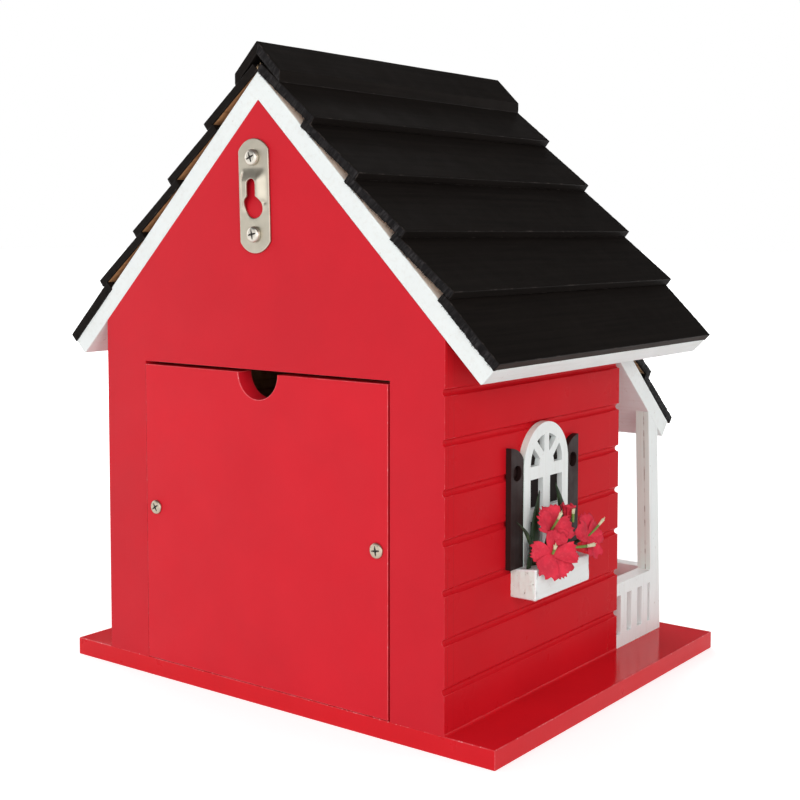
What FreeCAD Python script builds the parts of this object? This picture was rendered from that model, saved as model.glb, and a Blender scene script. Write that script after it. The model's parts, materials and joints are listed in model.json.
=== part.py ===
"""Cottage birdhouse with a front porch, a shingled gable roof and a clean-out door at the back.

Frame: millimetres, +Z up. The origin is the middle of the base board's underside.
The porch and the entry hole face -Y, the clean-out door faces +Y, and "left" is the -X side.
Most pieces are drawn on the house datum: x = 0 is the middle plane, y = 0 is the rear face of
the back wall (the house runs towards -Y) and z = 0 is the top of the base board.
"""
import FreeCAD, Part
import os
from math import atan2, cos, pi, radians, sin

import Sketcher
from FreeCAD import Rotation, Vector

DOC = FreeCAD.newDocument("birdhouse")

# ------------------------------------------------------------------ driving dimensions

SIZES = {
    # base board
    "base_width": 224.0,
    "base_depth": 181.0,
    "base_thickness": 7.5,
    # house box
    "house_width": 180.0,
    "house_depth": 131.0,
    "wall_height": 144.5,
    "wall_thickness": 8.0,
    # clapboard grooves
    "groove_radius": 1.45,
    "groove_depth": 1.1,
    "first_groove_height": 16.3,
    "groove_spacing": 18.2,
    # main roof
    "roof_pitch": 45.0,
    "roof_length": 171.5,
    "roof_thickness": 8.0,
    "eave_run": 21.8,
    # shingle boards
    "shingle_thickness": 3.4,
    "top_course_exposure": 35.1,
    "shingle_lap": 3.5,
    "cap_half_width": 12.0,
    # clean-out door
    "door_width": 130.2,
    "door_height": 126.6,
    "door_offset": 0.9,
    "door_left_clearance": 1.0,
    "door_right_clearance": 0.15,
    "door_top_clearance": 1.4,
    "door_bottom_clearance": 0.2,
    "notch_radius": 10.6,
    "notch_offset": 0.4,
    "cleat_reach": 10.0,
    "cleat_thickness": 12.0,
    "cleat_height": 112.0,
    # screws
    "left_screw_inset": 5.1,
    "left_screw_height": 64.1,
    "right_screw_inset": 6.0,
    "right_screw_height": 66.0,
    "door_screw_length": 18.0,
    "door_head_radius": 3.0,
    "door_head_height": 1.2,
    "hanger_screw_length": 7.5,
    "hanger_head_radius": 3.2,
    "hanger_head_height": 2.0,
    "shank_radius": 1.5,
    "running_clearance": 0.05,
    "recess_width": 0.9,
    "recess_depth": 0.9,
    # keyhole hanger
    "hanger_drop": 37.5,
    "hanger_offset": 1.5,
    "hanger_lean": 1.5,
    "hanger_length": 45.2,
    "hanger_width": 16.0,
    "hanger_thickness": 1.0,
    "hanger_lift": 2.0,
    "hanger_end_radius": 9.2,
    "hanger_screw_spread": 15.1,
    "keyhole_radius": 4.6,
    "keyhole_drop": 4.2,
    "keyhole_slot_radius": 2.3,
    "keyhole_rise": 4.5,
    "lower_bend_start": 4.9,
    "lower_bend_end": 1.5,
    "upper_bend_start": 6.9,
    "upper_bend_end": 10.3,
    "side_bend_start": 7.1,
    "side_bend_end": 3.9,
    # entry
    "entry_radius": 16.0,
    "entry_height": 168.0,
    "ring_radius": 22.0,
    "ring_thickness": 3.0,
    "ring_reveal": 0.5,
    # porch roof
    "porch_pitch": 42.0,
    "porch_roof_height": 127.4,
    "porch_roof_run": 57.2,
    "porch_course_exposure": 31.5,
    "porch_tip_overhang": 2.2,
    "porch_tip_lift": 1.0,
    # porch panels
    "porch_depth": 42.0,
    "porch_panel_thickness": 6.5,
    "porch_post_width": 8.7,
    "porch_post_lean": 2.9,
    "rail_height": 28.9,
    "rail_slot_bottom": 5.9,
    "rail_slot_height": 17.4,
    "rail_slot_width": 4.3,
    "rail_slot_pitch": 9.95,
    "wall_slot_width": 3.9,
    "post_slot_width": 2.2,
    "porch_gap_width": 52.0,
    # side windows
    "window_distance": 66.0,
    "window_width": 33.4,
    "window_sill_height": 53.3,
    "window_frame_thickness": 2.8,
    "window_backing_thickness": 0.5,
    "window_rebate_margin": 2.0,
    "window_rebate_clearance": 0.15,
    "stile_width": 4.7,
    "bottom_rail_height": 5.0,
    "pane_height": 11.7,
    "crossbar_height": 4.7,
    "fan_band_height": 5.1,
    "mullion_width": 5.3,
    "fan_bar_width": 3.5,
    "hub_radius": 5.5,
    # shutters
    "shutter_width": 8.9,
    "shutter_height": 47.1,
    "shutter_drop": 4.9,
    "shutter_thickness": 2.5,
    "shutter_hole_radius": 3.0,
    "shutter_hole_height": 37.1,
    # flower boxes
    "box_length": 42.0,
    "box_shift": 0.7,
    "box_depth": 11.2,
    "box_height": 11.4,
    "box_edge_radius": 1.6,
    "stem_radius": 0.8,
    "stem_hole_radius": 1.0,
    "stem_hole_depth": 5.0,
    "leaf_thickness": 0.8,
    "leaf_clearance": 0.15,
    # front door
    "front_door_width": 40.0,
    "front_door_height": 80.0,
    "front_door_thickness": 3.0,
    "door_stile_width": 6.0,
    "door_rail_height": 7.0,
    "door_panel_depth": 1.0,
    "knob_radius": 2.3,
    "knob_neck_radius": 1.2,
    "knob_neck_length": 2.4,
    "knob_inset": 5.0,
    "knob_height": 36.0,
}

COURSES = 5
GROOVES_BELOW_EAVE = 7
GROOVES_TO_RIDGE = 12
FRONT_RAIL_SLOTS = 5
SMALLEST_CUT = 0.01

# Each flower: distance behind the window's middle, stem height above the box, tilt away from
# the wall, and the radius of the bloom.
FLOWERS = (
    (12.5, 3.5, 60.0, 8.0),
    (-1.0, 13.0, 45.0, 7.0),
    (-17.0, 4.5, 58.0, 7.5),
)
BLOOM_HEIGHT = 7.0
BLOOM_NECK_RADIUS = 1.1

# Screw heads: the domed share of the head's height, and the cross recess's span in head radii.
DOME_SHARE = 0.55
CROSS_SPAN = 1.15

# Each leaf blade: distance behind the window's middle, lean towards the rear, length, half width.
LEAVES = (
    (20.0, 23.0, 22.5, 2.0),
    (16.0, -3.0, 28.5, 2.6),
    (-2.0, 4.0, 29.5, 2.8),
    (-14.0, -23.0, 20.5, 2.2),
)

# How a sketch constraint names the points of an edge, and the sketch's own origin.
START, END, CENTRE = 1, 2, 3
SKETCH_ORIGIN = (-1, 1)

SHEET = DOC.addObject("Spreadsheet::Sheet", "Sizes")
for row, (alias, value) in enumerate(SIZES.items(), start=1):
    SHEET.set(f"A{row}", alias)
    SHEET.set(f"B{row}", str(value))
    SHEET.setAlias(f"B{row}", alias)
DOC.recompute()


def size(name):
    """The expression that reads one driving dimension."""
    return f"Sizes.{name}"


# ------------------------------------------------------------------ derived expressions

REAR = f"({size('base_depth')} / 2)"
DECK = size("base_thickness")
HALF_HOUSE = f"({size('house_width')} / 2)"
FRONT = f"(-{size('house_depth')})"
INNER_HALF = f"({HALF_HOUSE} - {size('wall_thickness')})"

PITCH = size("roof_pitch")
GABLE_PEAK = f"({size('wall_height')} + {HALF_HOUSE} * tan({PITCH}))"
ROOF_APEX = f"({GABLE_PEAK} + {size('roof_thickness')} / cos({PITCH}))"
UNDERSIDE_RUN = f"({HALF_HOUSE} / cos({PITCH}) + {size('eave_run')})"
TOPSIDE_RUN = f"({UNDERSIDE_RUN} + {size('roof_thickness')} * tan({PITCH}))"

SHINGLE = size("shingle_thickness")
EXPOSURE = f"(({TOPSIDE_RUN} - {size('top_course_exposure')}) / ({COURSES} - 1))"

HALF_DOOR = f"({size('door_width')} / 2)"
OPENING_LEFT = f"({size('door_offset')} - {HALF_DOOR} - {size('door_left_clearance')})"
OPENING_RIGHT = f"({size('door_offset')} + {HALF_DOOR} + {size('door_right_clearance')})"
OPENING_HEIGHT = (
    f"({size('door_bottom_clearance')} + {size('door_height')} + {size('door_top_clearance')})"
)

PORCH = size("porch_pitch")
PORCH_TOPSIDE_RUN = f"({size('porch_roof_run')} + {size('roof_thickness')} * tan({PORCH}))"
PORCH_APEX = f"({size('porch_roof_height')} + {size('roof_thickness')} / cos({PORCH}))"
PORCH_FRONT = f"({FRONT} - {size('porch_depth')})"
POST_REAR = f"({PORCH_FRONT} + {size('porch_post_width')})"
POST_SLOPE = f"tan({size('porch_post_lean')})"

WINDOW_Y = f"(-{size('window_distance')})"
WINDOW_HALF = f"({size('window_width')} / 2)"
SPRING_HEIGHT = (
    f"({size('window_sill_height')} + {size('bottom_rail_height')} + 2 * {size('pane_height')}"
    f" + {size('crossbar_height')} + {size('fan_band_height')})"
)
STEM_X = f"({HALF_HOUSE} + {size('box_depth')} / 2)"
SCREW_HOLE = f"({size('shank_radius')} + {size('running_clearance')})"
HANGER_HEIGHT = f"({GABLE_PEAK} - {size('hanger_drop')})"
GROOVE_CENTRE = f"({size('groove_radius')} - {size('groove_depth')})"


# ------------------------------------------------------------------ modelling helpers


def number(expression):
    """The present value of an expression, used as the starting point of a sketch."""
    result = SHEET.evalExpression(expression)
    return float(getattr(result, "Value", result))


def new_body(label):
    """An empty body whose own origin sits on the house datum."""
    body = DOC.addObject("PartDesign::Body", label)
    body.Label = label
    move(body)
    return body


def move(piece, along_x="0", along_y="0", along_z="0"):
    """Places a piece relative to the house datum."""
    piece.setExpression("Placement.Base.x", along_x)
    piece.setExpression("Placement.Base.y", f"{REAR} + {along_y}")
    piece.setExpression("Placement.Base.z", f"{DECK} + {along_z}")


def origin_plane(body, role):
    return next(item for item in body.Origin.OriginFeatures if item.Role == role)


def new_sketch(body, role, name, offset=None):
    """A sketch on one of the body's origin planes; offset lifts it along the plane's normal."""
    sketch = body.newObject("Sketcher::SketchObject", name)
    sketch.AttachmentSupport = [(origin_plane(body, role), "")]
    sketch.MapMode = "FlatFace"
    if offset is not None:
        sketch.setExpression("AttachmentOffset.Base.z", offset)
    return sketch


def constrain(sketch, kind, expression, *where):
    """Adds one dimension to a sketch and binds it to an expression."""
    index = sketch.addConstraint(Sketcher.Constraint(kind, *where, number(expression)))
    sketch.setExpression(f"Constraints[{index}]", expression)


def draw_outline(sketch, corners):
    """Draws a closed outline. A corner is (x, y), or (x, y, radius, centre x, centre y) where
    the edge that leaves it is an arc of less than half a turn."""
    first = sketch.GeometryCount
    count = len(corners)
    points = [Vector(number(corner[0]), number(corner[1]), 0) for corner in corners]
    ends = []
    for i, corner in enumerate(corners):
        start, end = points[i], points[(i + 1) % count]
        if len(corner) == 2:
            sketch.addGeometry(Part.LineSegment(start, end), False)
            ends.append((START, END))
        else:
            centre = Vector(number(corner[3]), number(corner[4]), 0)
            ends.append(add_arc(sketch, start, end, centre, number(corner[2])))
    for i, corner in enumerate(corners):
        after = (i + 1) % count
        joint = (first + i, ends[i][1], first + after, ends[after][0])
        sketch.addConstraint(Sketcher.Constraint("Coincident", *joint))
        constrain(sketch, "DistanceX", corner[0], *SKETCH_ORIGIN, first + i, ends[i][0])
        constrain(sketch, "DistanceY", corner[1], *SKETCH_ORIGIN, first + i, ends[i][0])
        if len(corner) > 2:
            constrain(sketch, "Radius", corner[2], first + i)


def add_arc(sketch, start, end, centre, radius):
    """Adds the shorter arc about a centre, and returns which of its ends is met first. A sketch
    keeps every arc anticlockwise, so a clockwise one is stored from its end to its start."""
    angles = [atan2(point.y - centre.y, point.x - centre.x) for point in (start, end)]
    anticlockwise = (angles[1] - angles[0]) % (2 * pi) < pi
    if not anticlockwise:
        angles.reverse()
    circle = Part.Circle(centre, Vector(0, 0, 1), radius)
    sketch.addGeometry(Part.ArcOfCircle(circle, *angles), False)
    return (START, END) if anticlockwise else (END, START)


def draw_circle(sketch, x, y, radius):
    centre = Vector(number(x), number(y), 0)
    circle = Part.Circle(centre, Vector(0, 0, 1), number(radius))
    index = sketch.addGeometry(circle, False)
    constrain(sketch, "DistanceX", x, *SKETCH_ORIGIN, index, CENTRE)
    constrain(sketch, "DistanceY", y, *SKETCH_ORIGIN, index, CENTRE)
    constrain(sketch, "Radius", radius, index)


def draw_rectangle(sketch, left, bottom, right, top):
    draw_outline(sketch, [(left, bottom), (right, bottom), (right, top), (left, top)])


def pad(body, sketch, length, both_ways=False):
    feature = body.newObject("PartDesign::Pad", "Pad")
    feature.Profile = sketch
    feature.setExpression("Length", length)
    feature.SideType = "Symmetric" if both_ways else "One side"
    DOC.recompute()


def pocket(body, sketch, length=None, reverse=False):
    """Cuts a sketch out of the body: to a depth, or right through both ways. The volume has to
    go down, because a pocket that points away from the solid cuts nothing."""
    before = body.Shape.Volume
    feature = body.newObject("PartDesign::Pocket", "Pocket")
    feature.Profile = sketch
    if length is None:
        feature.Type = "ThroughAll"
        feature.SideType = "Symmetric"
    else:
        feature.setExpression("Length", length)
        feature.Reversed = reverse
    DOC.recompute()
    require_cut(body, before, sketch)
    return feature


def require_cut(body, volume_before, sketch):
    if body.Shape.Volume > volume_before - SMALLEST_CUT:
        raise RuntimeError(f"{sketch.Name} cuts nothing out of {body.Label}")


def repeat(body, feature, sketch, axis, spacing, count):
    """Repeats a cut along a sketch axis, count times in all."""
    before = body.Shape.Volume
    pattern = body.newObject("PartDesign::LinearPattern", "Pattern")
    pattern.Originals = [feature]
    pattern.Direction = (sketch, [axis])
    pattern.Occurrences = count
    pattern.setExpression("Length", f"({count} - 1) * ({spacing})")
    body.Tip = pattern
    DOC.recompute()
    require_cut(body, before, sketch)


def primitive(kind, name, **dimensions):
    """A Part primitive whose dimensions are bound to expressions."""
    shape = DOC.addObject(f"Part::{kind}", name)
    for key, expression in dimensions.items():
        shape.setExpression(key, expression)
    return shape


def put(shape, x, y, z, axis=None, angle=None):
    """Places a primitive on the house datum, turned about an axis."""
    if axis is not None:
        shape.Placement = FreeCAD.Placement(Vector(), Rotation(axis, angle))
    move(shape, x, y, z)
    return shape


def boolean(kind, name, base, tool):
    result = DOC.addObject(f"Part::{kind}", name)
    result.Base = base
    result.Tool = tool
    return result


def fuse(name, pieces):
    result = DOC.addObject("Part::MultiFuse", name)
    result.Shapes = pieces
    return result


def signed(side, expression):
    """Mirrors an x value: side is -1 on the left and 1 on the right."""
    return f"(-({expression}))" if side < 0 else f"({expression})"


NODES = []


def keep(piece, label):
    """Marks a finished piece as a sub-part of the birdhouse."""
    piece.Label = label
    NODES.append(piece)
    return piece


SIDES = (("left", -1), ("right", 1))

# ------------------------------------------------------------------ base and walls


def make_base():
    body = new_body("base")
    move(body, along_z=f"(-{DECK})")
    half = f"({size('base_width')} / 2)"
    sketch = new_sketch(body, "XY_Plane", "base_outline")
    draw_rectangle(sketch, f"(-{half})", f"(-{size('base_depth')})", half, "0")
    pad(body, sketch, DECK)
    keep(body, "base")


def groove_ends(body, side_signs, name):
    """Cuts the clapboard grooves that run along Y into the house's outer side faces."""
    sketch = new_sketch(body, "XZ_Plane", name)
    for side in side_signs:
        centre = signed(side, f"{HALF_HOUSE} + {GROOVE_CENTRE}")
        draw_circle(sketch, centre, size("first_groove_height"), size("groove_radius"))
    cut = pocket(body, sketch)
    repeat(body, cut, sketch, "V_Axis", size("groove_spacing"), GROOVES_BELOW_EAVE)


def gable_corners():
    return [
        (HALF_HOUSE, "0"),
        (HALF_HOUSE, size("wall_height")),
        ("0", GABLE_PEAK),
        (f"(-{HALF_HOUSE})", size("wall_height")),
        (f"(-{HALF_HOUSE})", "0"),
    ]


def screw_reach(name, side):
    """How far a door screw is from the door's own middle plane."""
    return signed(side, f"{HALF_DOOR} - {size(name + '_screw_inset')}")


def screw_x(name, side):
    return f"({size('door_offset')} + {screw_reach(name, side)})"


def hanger_screw_place(end):
    """Where a screw of the hanger goes on the wall: end is 1 above and -1 below the plate's
    middle."""
    reach = f"{end} * {size('hanger_screw_spread')}"
    x = f"({size('hanger_offset')} + {reach} * sin({size('hanger_lean')}))"
    z = f"({HANGER_HEIGHT} + {reach} * cos({size('hanger_lean')}))"
    return x, z


def make_back_wall():
    """The gable wall around the clean-out door. Its left edge carries on the grooves of the
    side wall that it covers, and its right edge is plain."""
    body = new_body("back_wall")
    sketch = new_sketch(body, "XZ_Plane", "back_outline")
    opening = [
        (OPENING_LEFT, "0"),
        (OPENING_LEFT, OPENING_HEIGHT),
        (OPENING_RIGHT, OPENING_HEIGHT),
        (OPENING_RIGHT, "0"),
    ]
    draw_outline(sketch, gable_corners() + opening)
    pad(body, sketch, size("wall_thickness"))
    pilots = new_sketch(body, "XZ_Plane", "hanger_pilots")
    for end in (-1, 1):
        draw_circle(pilots, *hanger_screw_place(end), SCREW_HOLE)
    pocket(body, pilots)
    groove_ends(body, (-1,), "back_grooves")
    keep(body, "back_wall")


def make_side_wall(name, side):
    body = new_body(f"side_wall_{name}")
    move(body, along_y=f"(-{size('wall_thickness')})")
    sketch = new_sketch(body, "XZ_Plane", f"side_outline_{name}")
    inner_height = f"({size('wall_height')} + {size('wall_thickness')} * tan({PITCH}))"
    corners = [
        (signed(side, HALF_HOUSE), "0"),
        (signed(side, HALF_HOUSE), size("wall_height")),
        (signed(side, INNER_HALF), inner_height),
        (signed(side, INNER_HALF), "0"),
    ]
    draw_outline(sketch, corners)
    pad(body, sketch, f"{size('house_depth')} - 2 * {size('wall_thickness')}")
    groove_ends(body, (side,), f"side_grooves_{name}")
    keep(body, f"side_wall_{name}")


def make_front_wall():
    body = new_body("front_wall")
    move(body, along_y=f"({FRONT} + {size('wall_thickness')})")
    sketch = new_sketch(body, "XZ_Plane", "front_outline")
    draw_outline(sketch, gable_corners())
    pad(body, sketch, size("wall_thickness"))
    hole = new_sketch(body, "XZ_Plane", "entry_hole")
    draw_circle(hole, "0", size("entry_height"), size("entry_radius"))
    pocket(body, hole)
    groove_ends(body, (-1, 1), "front_edge_grooves")
    face = new_sketch(body, "YZ_Plane", "front_face_grooves")
    centre = f"(-{size('wall_thickness')} - {GROOVE_CENTRE})"
    draw_circle(face, centre, size("first_groove_height"), size("groove_radius"))
    cut = pocket(body, face)
    repeat(body, cut, face, "V_Axis", size("groove_spacing"), GROOVES_TO_RIDGE)
    keep(body, "front_wall")


# ------------------------------------------------------------------ clean-out door


def make_cleat(name, side):
    """The inner batten that stops the door and takes its screw."""
    body = new_body(f"door_cleat_{name}")
    move(body, along_y=f"(-{size('wall_thickness')})")
    sketch = new_sketch(body, "XZ_Plane", f"cleat_outline_{name}")
    edge = OPENING_RIGHT if side > 0 else OPENING_LEFT
    near = f"({edge} - {side} * {size('cleat_reach')})"
    far = signed(side, INNER_HALF)
    draw_rectangle(sketch, near, "0", far, size("cleat_height"))
    pad(body, sketch, size("cleat_thickness"))
    pilot = new_sketch(body, "XZ_Plane", f"cleat_pilot_{name}")
    draw_circle(pilot, screw_x(name, side), size(f"{name}_screw_height"), SCREW_HOLE)
    pocket(body, pilot)
    keep(body, f"door_cleat_{name}")


def make_door():
    body = new_body("clean_out_door")
    move(body, size("door_offset"))
    sketch = new_sketch(body, "XZ_Plane", "door_outline")
    bottom = size("door_bottom_clearance")
    top = f"({bottom} + {size('door_height')})"
    notch = size("notch_radius")
    centre = size("notch_offset")
    corners = [
        (f"(-{HALF_DOOR})", bottom),
        (HALF_DOOR, bottom),
        (HALF_DOOR, top),
        (f"({centre} + {notch})", top, notch, centre, top),
        (centre, f"({top} - {notch})", notch, centre, top),
        (f"({centre} - {notch})", top),
        (f"(-{HALF_DOOR})", top),
    ]
    draw_outline(sketch, corners)
    pad(body, sketch, size("wall_thickness"))
    holes = new_sketch(body, "XZ_Plane", "door_screw_holes")
    for name, side in SIDES:
        height = size(f"{name}_screw_height")
        draw_circle(holes, screw_reach(name, side), height, SCREW_HOLE)
    pocket(body, holes)
    keep(body, "clean_out_door")


def recess_slot(name, x, y, z, wide, high):
    """One arm of a cross recess, as a box that starts at y."""
    slot = primitive("Box", name, Length=wide, Width=size("recess_depth"), Height=high)
    return put(slot, f"{x} - {wide} / 2", y, f"{z} - {high} / 2")


def screw_solid(name, head, length, x, y, z):
    """A pan-head screw with a cross recess. It is driven towards -Y, and y is the face that
    its head bears on. head names the head's radius and height in the sheet."""
    axis, angle = Vector(1, 0, 0), -90
    head_radius = size(f"{head}_radius")
    height = size(f"{head}_height")
    dome_rise = f"({height} * {DOME_SHARE})"
    dome_radius = f"(({head_radius} ^ 2 + {dome_rise} ^ 2) / (2 * {dome_rise}))"
    disc = primitive("Cylinder", f"{name}_disc", Radius=head_radius, Height=height)
    put(disc, x, y, z, axis, angle)
    dome = primitive("Sphere", f"{name}_dome", Radius=dome_radius)
    put(dome, x, f"({y} + {height} - {dome_radius})", z)
    head = boolean("Common", f"{name}_head", disc, dome)
    shank_radius = size("shank_radius")
    tip = f"(2 * {shank_radius})"
    shank_length = f"({length} - {tip})"
    shank = primitive("Cylinder", f"{name}_shank", Radius=shank_radius, Height=shank_length)
    put(shank, x, f"({y} - {shank_length})", z, axis, angle)
    point = primitive("Cone", f"{name}_point", Radius2=shank_radius, Height=tip)
    point.Radius1 = 0
    put(point, x, f"({y} - {length})", z, axis, angle)
    blank = fuse(f"{name}_blank", [head, shank, point])
    blade = size("recess_width")
    arm = f"({head_radius} * {CROSS_SPAN})"
    floor = f"({y} + {height} - {size('recess_depth')})"
    upright = recess_slot(f"{name}_upright", x, floor, z, blade, arm)
    level = recess_slot(f"{name}_level", x, floor, z, arm, blade)
    cross = fuse(f"{name}_cross", [upright, level])
    return boolean("Cut", name, blank, cross)


def make_door_screw(name, side):
    screw = screw_solid(
        f"door_screw_{name}",
        "door_head",
        size("door_screw_length"),
        screw_x(name, side),
        "0",
        size(f"{name}_screw_height"),
    )
    keep(screw, f"door_screw_{name}")


# ------------------------------------------------------------------ keyhole hanger


def make_hanger():
    """A steel plate whose middle is pressed outward, so that a screw head fits behind it. The
    sheet is as thick in the pressed part as in the flat rim, measured along Y."""
    body = new_body("hanger_plate")
    move(body, size("hanger_offset"), "0", HANGER_HEIGHT)
    body.Placement.Rotation = Rotation(Vector(0, 1, 0), 1)
    body.setExpression("Placement.Rotation.Angle", size("hanger_lean"))
    thick = size("hanger_thickness")
    half = f"({size('hanger_length')} / 2)"
    wide = f"({size('hanger_width')} / 2)"
    radius = size("hanger_end_radius")
    reach = f"({half} - {radius})"
    shoulder = f"({reach} + sqrt({radius} ^ 2 - {wide} ^ 2))"
    outline = [
        (wide, f"(-{shoulder})"),
        (wide, shoulder, radius, "0", reach),
        (f"(-{wide})", shoulder),
        (f"(-{wide})", f"(-{shoulder})", radius, "0", f"(-{reach})"),
    ]
    plate = new_sketch(body, "XZ_Plane", "hanger_outline", f"(-{thick})")
    draw_outline(plate, outline)
    pad(body, plate, thick)
    boss(body, "Additive", "pressed_face", thick)
    boss(body, "Subtractive", "pressed_back", "0")

    holes = new_sketch(body, "XZ_Plane", "hanger_holes")
    for end in (-1, 1):
        draw_circle(holes, "0", f"({end} * {size('hanger_screw_spread')})", SCREW_HOLE)
    pocket(body, holes)

    keyhole = new_sketch(body, "XZ_Plane", "keyhole")
    big = size("keyhole_radius")
    small = size("keyhole_slot_radius")
    low = f"(-{size('keyhole_drop')})"
    neck = f"({low} + sqrt({big} ^ 2 - {small} ^ 2))"
    top = size("keyhole_rise")
    corners = [
        (small, neck),
        (small, top, small, "0", top),
        ("0", f"({top} + {small})", small, "0", top),
        (f"(-{small})", top),
        (f"(-{small})", neck, big, "0", low),
        (f"(-{big})", low, big, "0", low),
        ("0", f"({low} - {big})", big, "0", low),
        (big, low, big, "0", low),
    ]
    draw_outline(keyhole, corners)
    pocket(body, keyhole)
    keep(body, "hanger_plate")


def boss(body, kind, name, start):
    """Adds or cuts the frustum between the pressed part's foot and its flat crown; start is how
    far behind the wall's face its foot lies."""
    foot = new_sketch(body, "XZ_Plane", f"{name}_foot", f"(-({start}))")
    crown_plane = f"(-({start} + {size('hanger_lift')}))"
    crown = new_sketch(body, "XZ_Plane", f"{name}_crown", crown_plane)
    for sketch, side, low, high in (
        (foot, "side_bend_start", "lower_bend_start", "upper_bend_end"),
        (crown, "side_bend_end", "lower_bend_end", "upper_bend_start"),
    ):
        draw_rectangle(sketch, f"(-{size(side)})", f"(-{size(low)})", size(side), size(high))
    loft = body.newObject(f"PartDesign::{kind}Loft", name)
    loft.Profile = foot
    loft.Sections = [crown]
    loft.Ruled = True
    DOC.recompute()


def make_hanger_screws():
    screws = []
    for name, end in (("lower", -1), ("upper", 1)):
        x, z = hanger_screw_place(end)
        screw = screw_solid(
            f"hanger_screw_{name}",
            "hanger_head",
            size("hanger_screw_length"),
            x,
            size("hanger_thickness"),
            z,
        )
        screws.append(screw)
    pair = DOC.addObject("Part::Compound", "hanger_screws")
    pair.Links = screws
    keep(pair, "hanger_screws")


# ------------------------------------------------------------------ main roof


def on_roof(side, run, rise):
    """A point of the gable section: run is measured down the slope from the roof boards' apex,
    rise is the height above their upper face."""
    x = f"(({run}) * cos({PITCH}) + ({rise}) * sin({PITCH}))"
    z = f"({ROOF_APEX} - ({run}) * sin({PITCH}) + ({rise}) * cos({PITCH}))"
    return signed(side, x), z


def make_roof_board(name, side):
    body = new_body(f"roof_board_{name}")
    sketch = new_sketch(body, "XZ_Plane", f"roof_outline_{name}")
    thick = f"(-{size('roof_thickness')})"
    corners = [
        ("0", GABLE_PEAK),
        ("0", ROOF_APEX),
        on_roof(side, TOPSIDE_RUN, "0"),
        on_roof(side, TOPSIDE_RUN, thick),
    ]
    draw_outline(sketch, corners)
    pad(body, sketch, size("roof_length"))
    keep(body, f"roof_board_{name}")


def course_section(upper, tip, tilt):
    """The four corners of one shingle board, as run and rise on its slope. Its upper edge lies
    on the roof board, and it tilts up over the course below."""
    lift = f"(({tip}) - ({upper})) * tan({tilt})"
    back = f"({SHINGLE} * sin({tilt}))"
    high = f"({SHINGLE} * cos({tilt}))"
    return [
        (upper, "0"),
        (f"({upper} - {back})", high),
        (f"({tip} - {back})", f"({lift} + {high})"),
        (tip, f"({lift})"),
    ]


def course_tip(course):
    return f"({TOPSIDE_RUN} - {course} * {EXPOSURE})"


def course_upper(course):
    if course == COURSES - 1:
        return "0"
    return f"({course_tip(course + 1)} - {size('shingle_lap')})"


def course_tilt(course):
    """Each course but the lowest leans on the upper edge of the course below it. The top course
    leans no less than the others, whose slope it has to clear where it laps them."""
    if course == 0:
        return "0"
    spacing = EXPOSURE
    if course == COURSES - 1:
        spacing = f"min({EXPOSURE}; {course_upper(course - 1)})"
    return f"asin({SHINGLE} / {spacing})"


def make_course(name, side, course):
    label = f"shingle_{name}_{course + 1}"
    body = new_body(label)
    sketch = new_sketch(body, "XZ_Plane", f"{label}_outline")
    section = course_section(course_upper(course), course_tip(course), course_tilt(course))
    draw_outline(sketch, [on_roof(side, run, rise) for run, rise in section])
    pad(body, sketch, size("roof_length"))
    keep(body, label)


def make_ridge_cap(name, side):
    """A strip parallel to the roof whose lower edge rests on the top course."""
    label = f"ridge_cap_{name}"
    body = new_body(label)
    sketch = new_sketch(body, "XZ_Plane", f"{label}_outline")
    tilt = course_tilt(COURSES - 1)
    half = size("cap_half_width")
    seat = (
        f"(({SHINGLE} / cos({tilt}) + tan({tilt}) * {half} / cos({PITCH}))"
        f" / (1 + tan({tilt}) * tan({PITCH})))"
    )
    inner = f"({ROOF_APEX} + {seat} / cos({PITCH}))"
    outer = f"({inner} + {SHINGLE} / cos({PITCH}))"
    drop = f"({half} * tan({PITCH}))"
    corners = [
        ("0", inner),
        ("0", outer),
        (signed(side, half), f"({outer} - {drop})"),
        (signed(side, half), f"({inner} - {drop})"),
    ]
    draw_outline(sketch, corners)
    pad(body, sketch, size("roof_length"))
    keep(body, label)


# ------------------------------------------------------------------ porch


def on_porch_roof(run, rise):
    """A point of the porch roof's section, as y and z; run starts at the front wall."""
    y = f"({FRONT} - ({run}) * cos({PORCH}) - ({rise}) * sin({PORCH}))"
    z = f"({PORCH_APEX} - ({run}) * sin({PORCH}) + ({rise}) * cos({PORCH}))"
    return y, z


def make_porch_roof():
    body = new_body("porch_roof_board")
    sketch = new_sketch(body, "YZ_Plane", "porch_roof_outline")
    corners = [
        (FRONT, size("porch_roof_height")),
        (FRONT, PORCH_APEX),
        on_porch_roof(PORCH_TOPSIDE_RUN, "0"),
        on_porch_roof(PORCH_TOPSIDE_RUN, f"(-{size('roof_thickness')})"),
    ]
    draw_outline(sketch, corners)
    pad(body, sketch, size("house_width"), both_ways=True)
    keep(body, "porch_roof_board")


def make_porch_courses():
    lower_tip = f"({PORCH_TOPSIDE_RUN} + {size('porch_tip_overhang')})"
    upper_tip = f"({lower_tip} - {size('porch_course_exposure')})"
    lower_upper = f"({upper_tip} - {size('shingle_lap')})"
    lower_tilt = f"atan({size('porch_tip_lift')} / ({lower_tip} - {lower_upper}))"
    seat = f"({SHINGLE} * cos({lower_tilt}))"
    upper_tilt = f"atan({seat} / ({lower_upper} - {SHINGLE} * sin({lower_tilt})))"
    courses = ((lower_upper, lower_tip, lower_tilt), ("0", upper_tip, upper_tilt))
    for course, (upper, tip, tilt) in enumerate(courses, start=1):
        label = f"porch_shingle_{course}"
        body = new_body(label)
        sketch = new_sketch(body, "YZ_Plane", f"{label}_outline")
        section = course_section(upper, tip, tilt)
        draw_outline(sketch, [on_porch_roof(run, rise) for run, rise in section])
        pad(body, sketch, size("house_width"), both_ways=True)
        keep(body, label)


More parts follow.
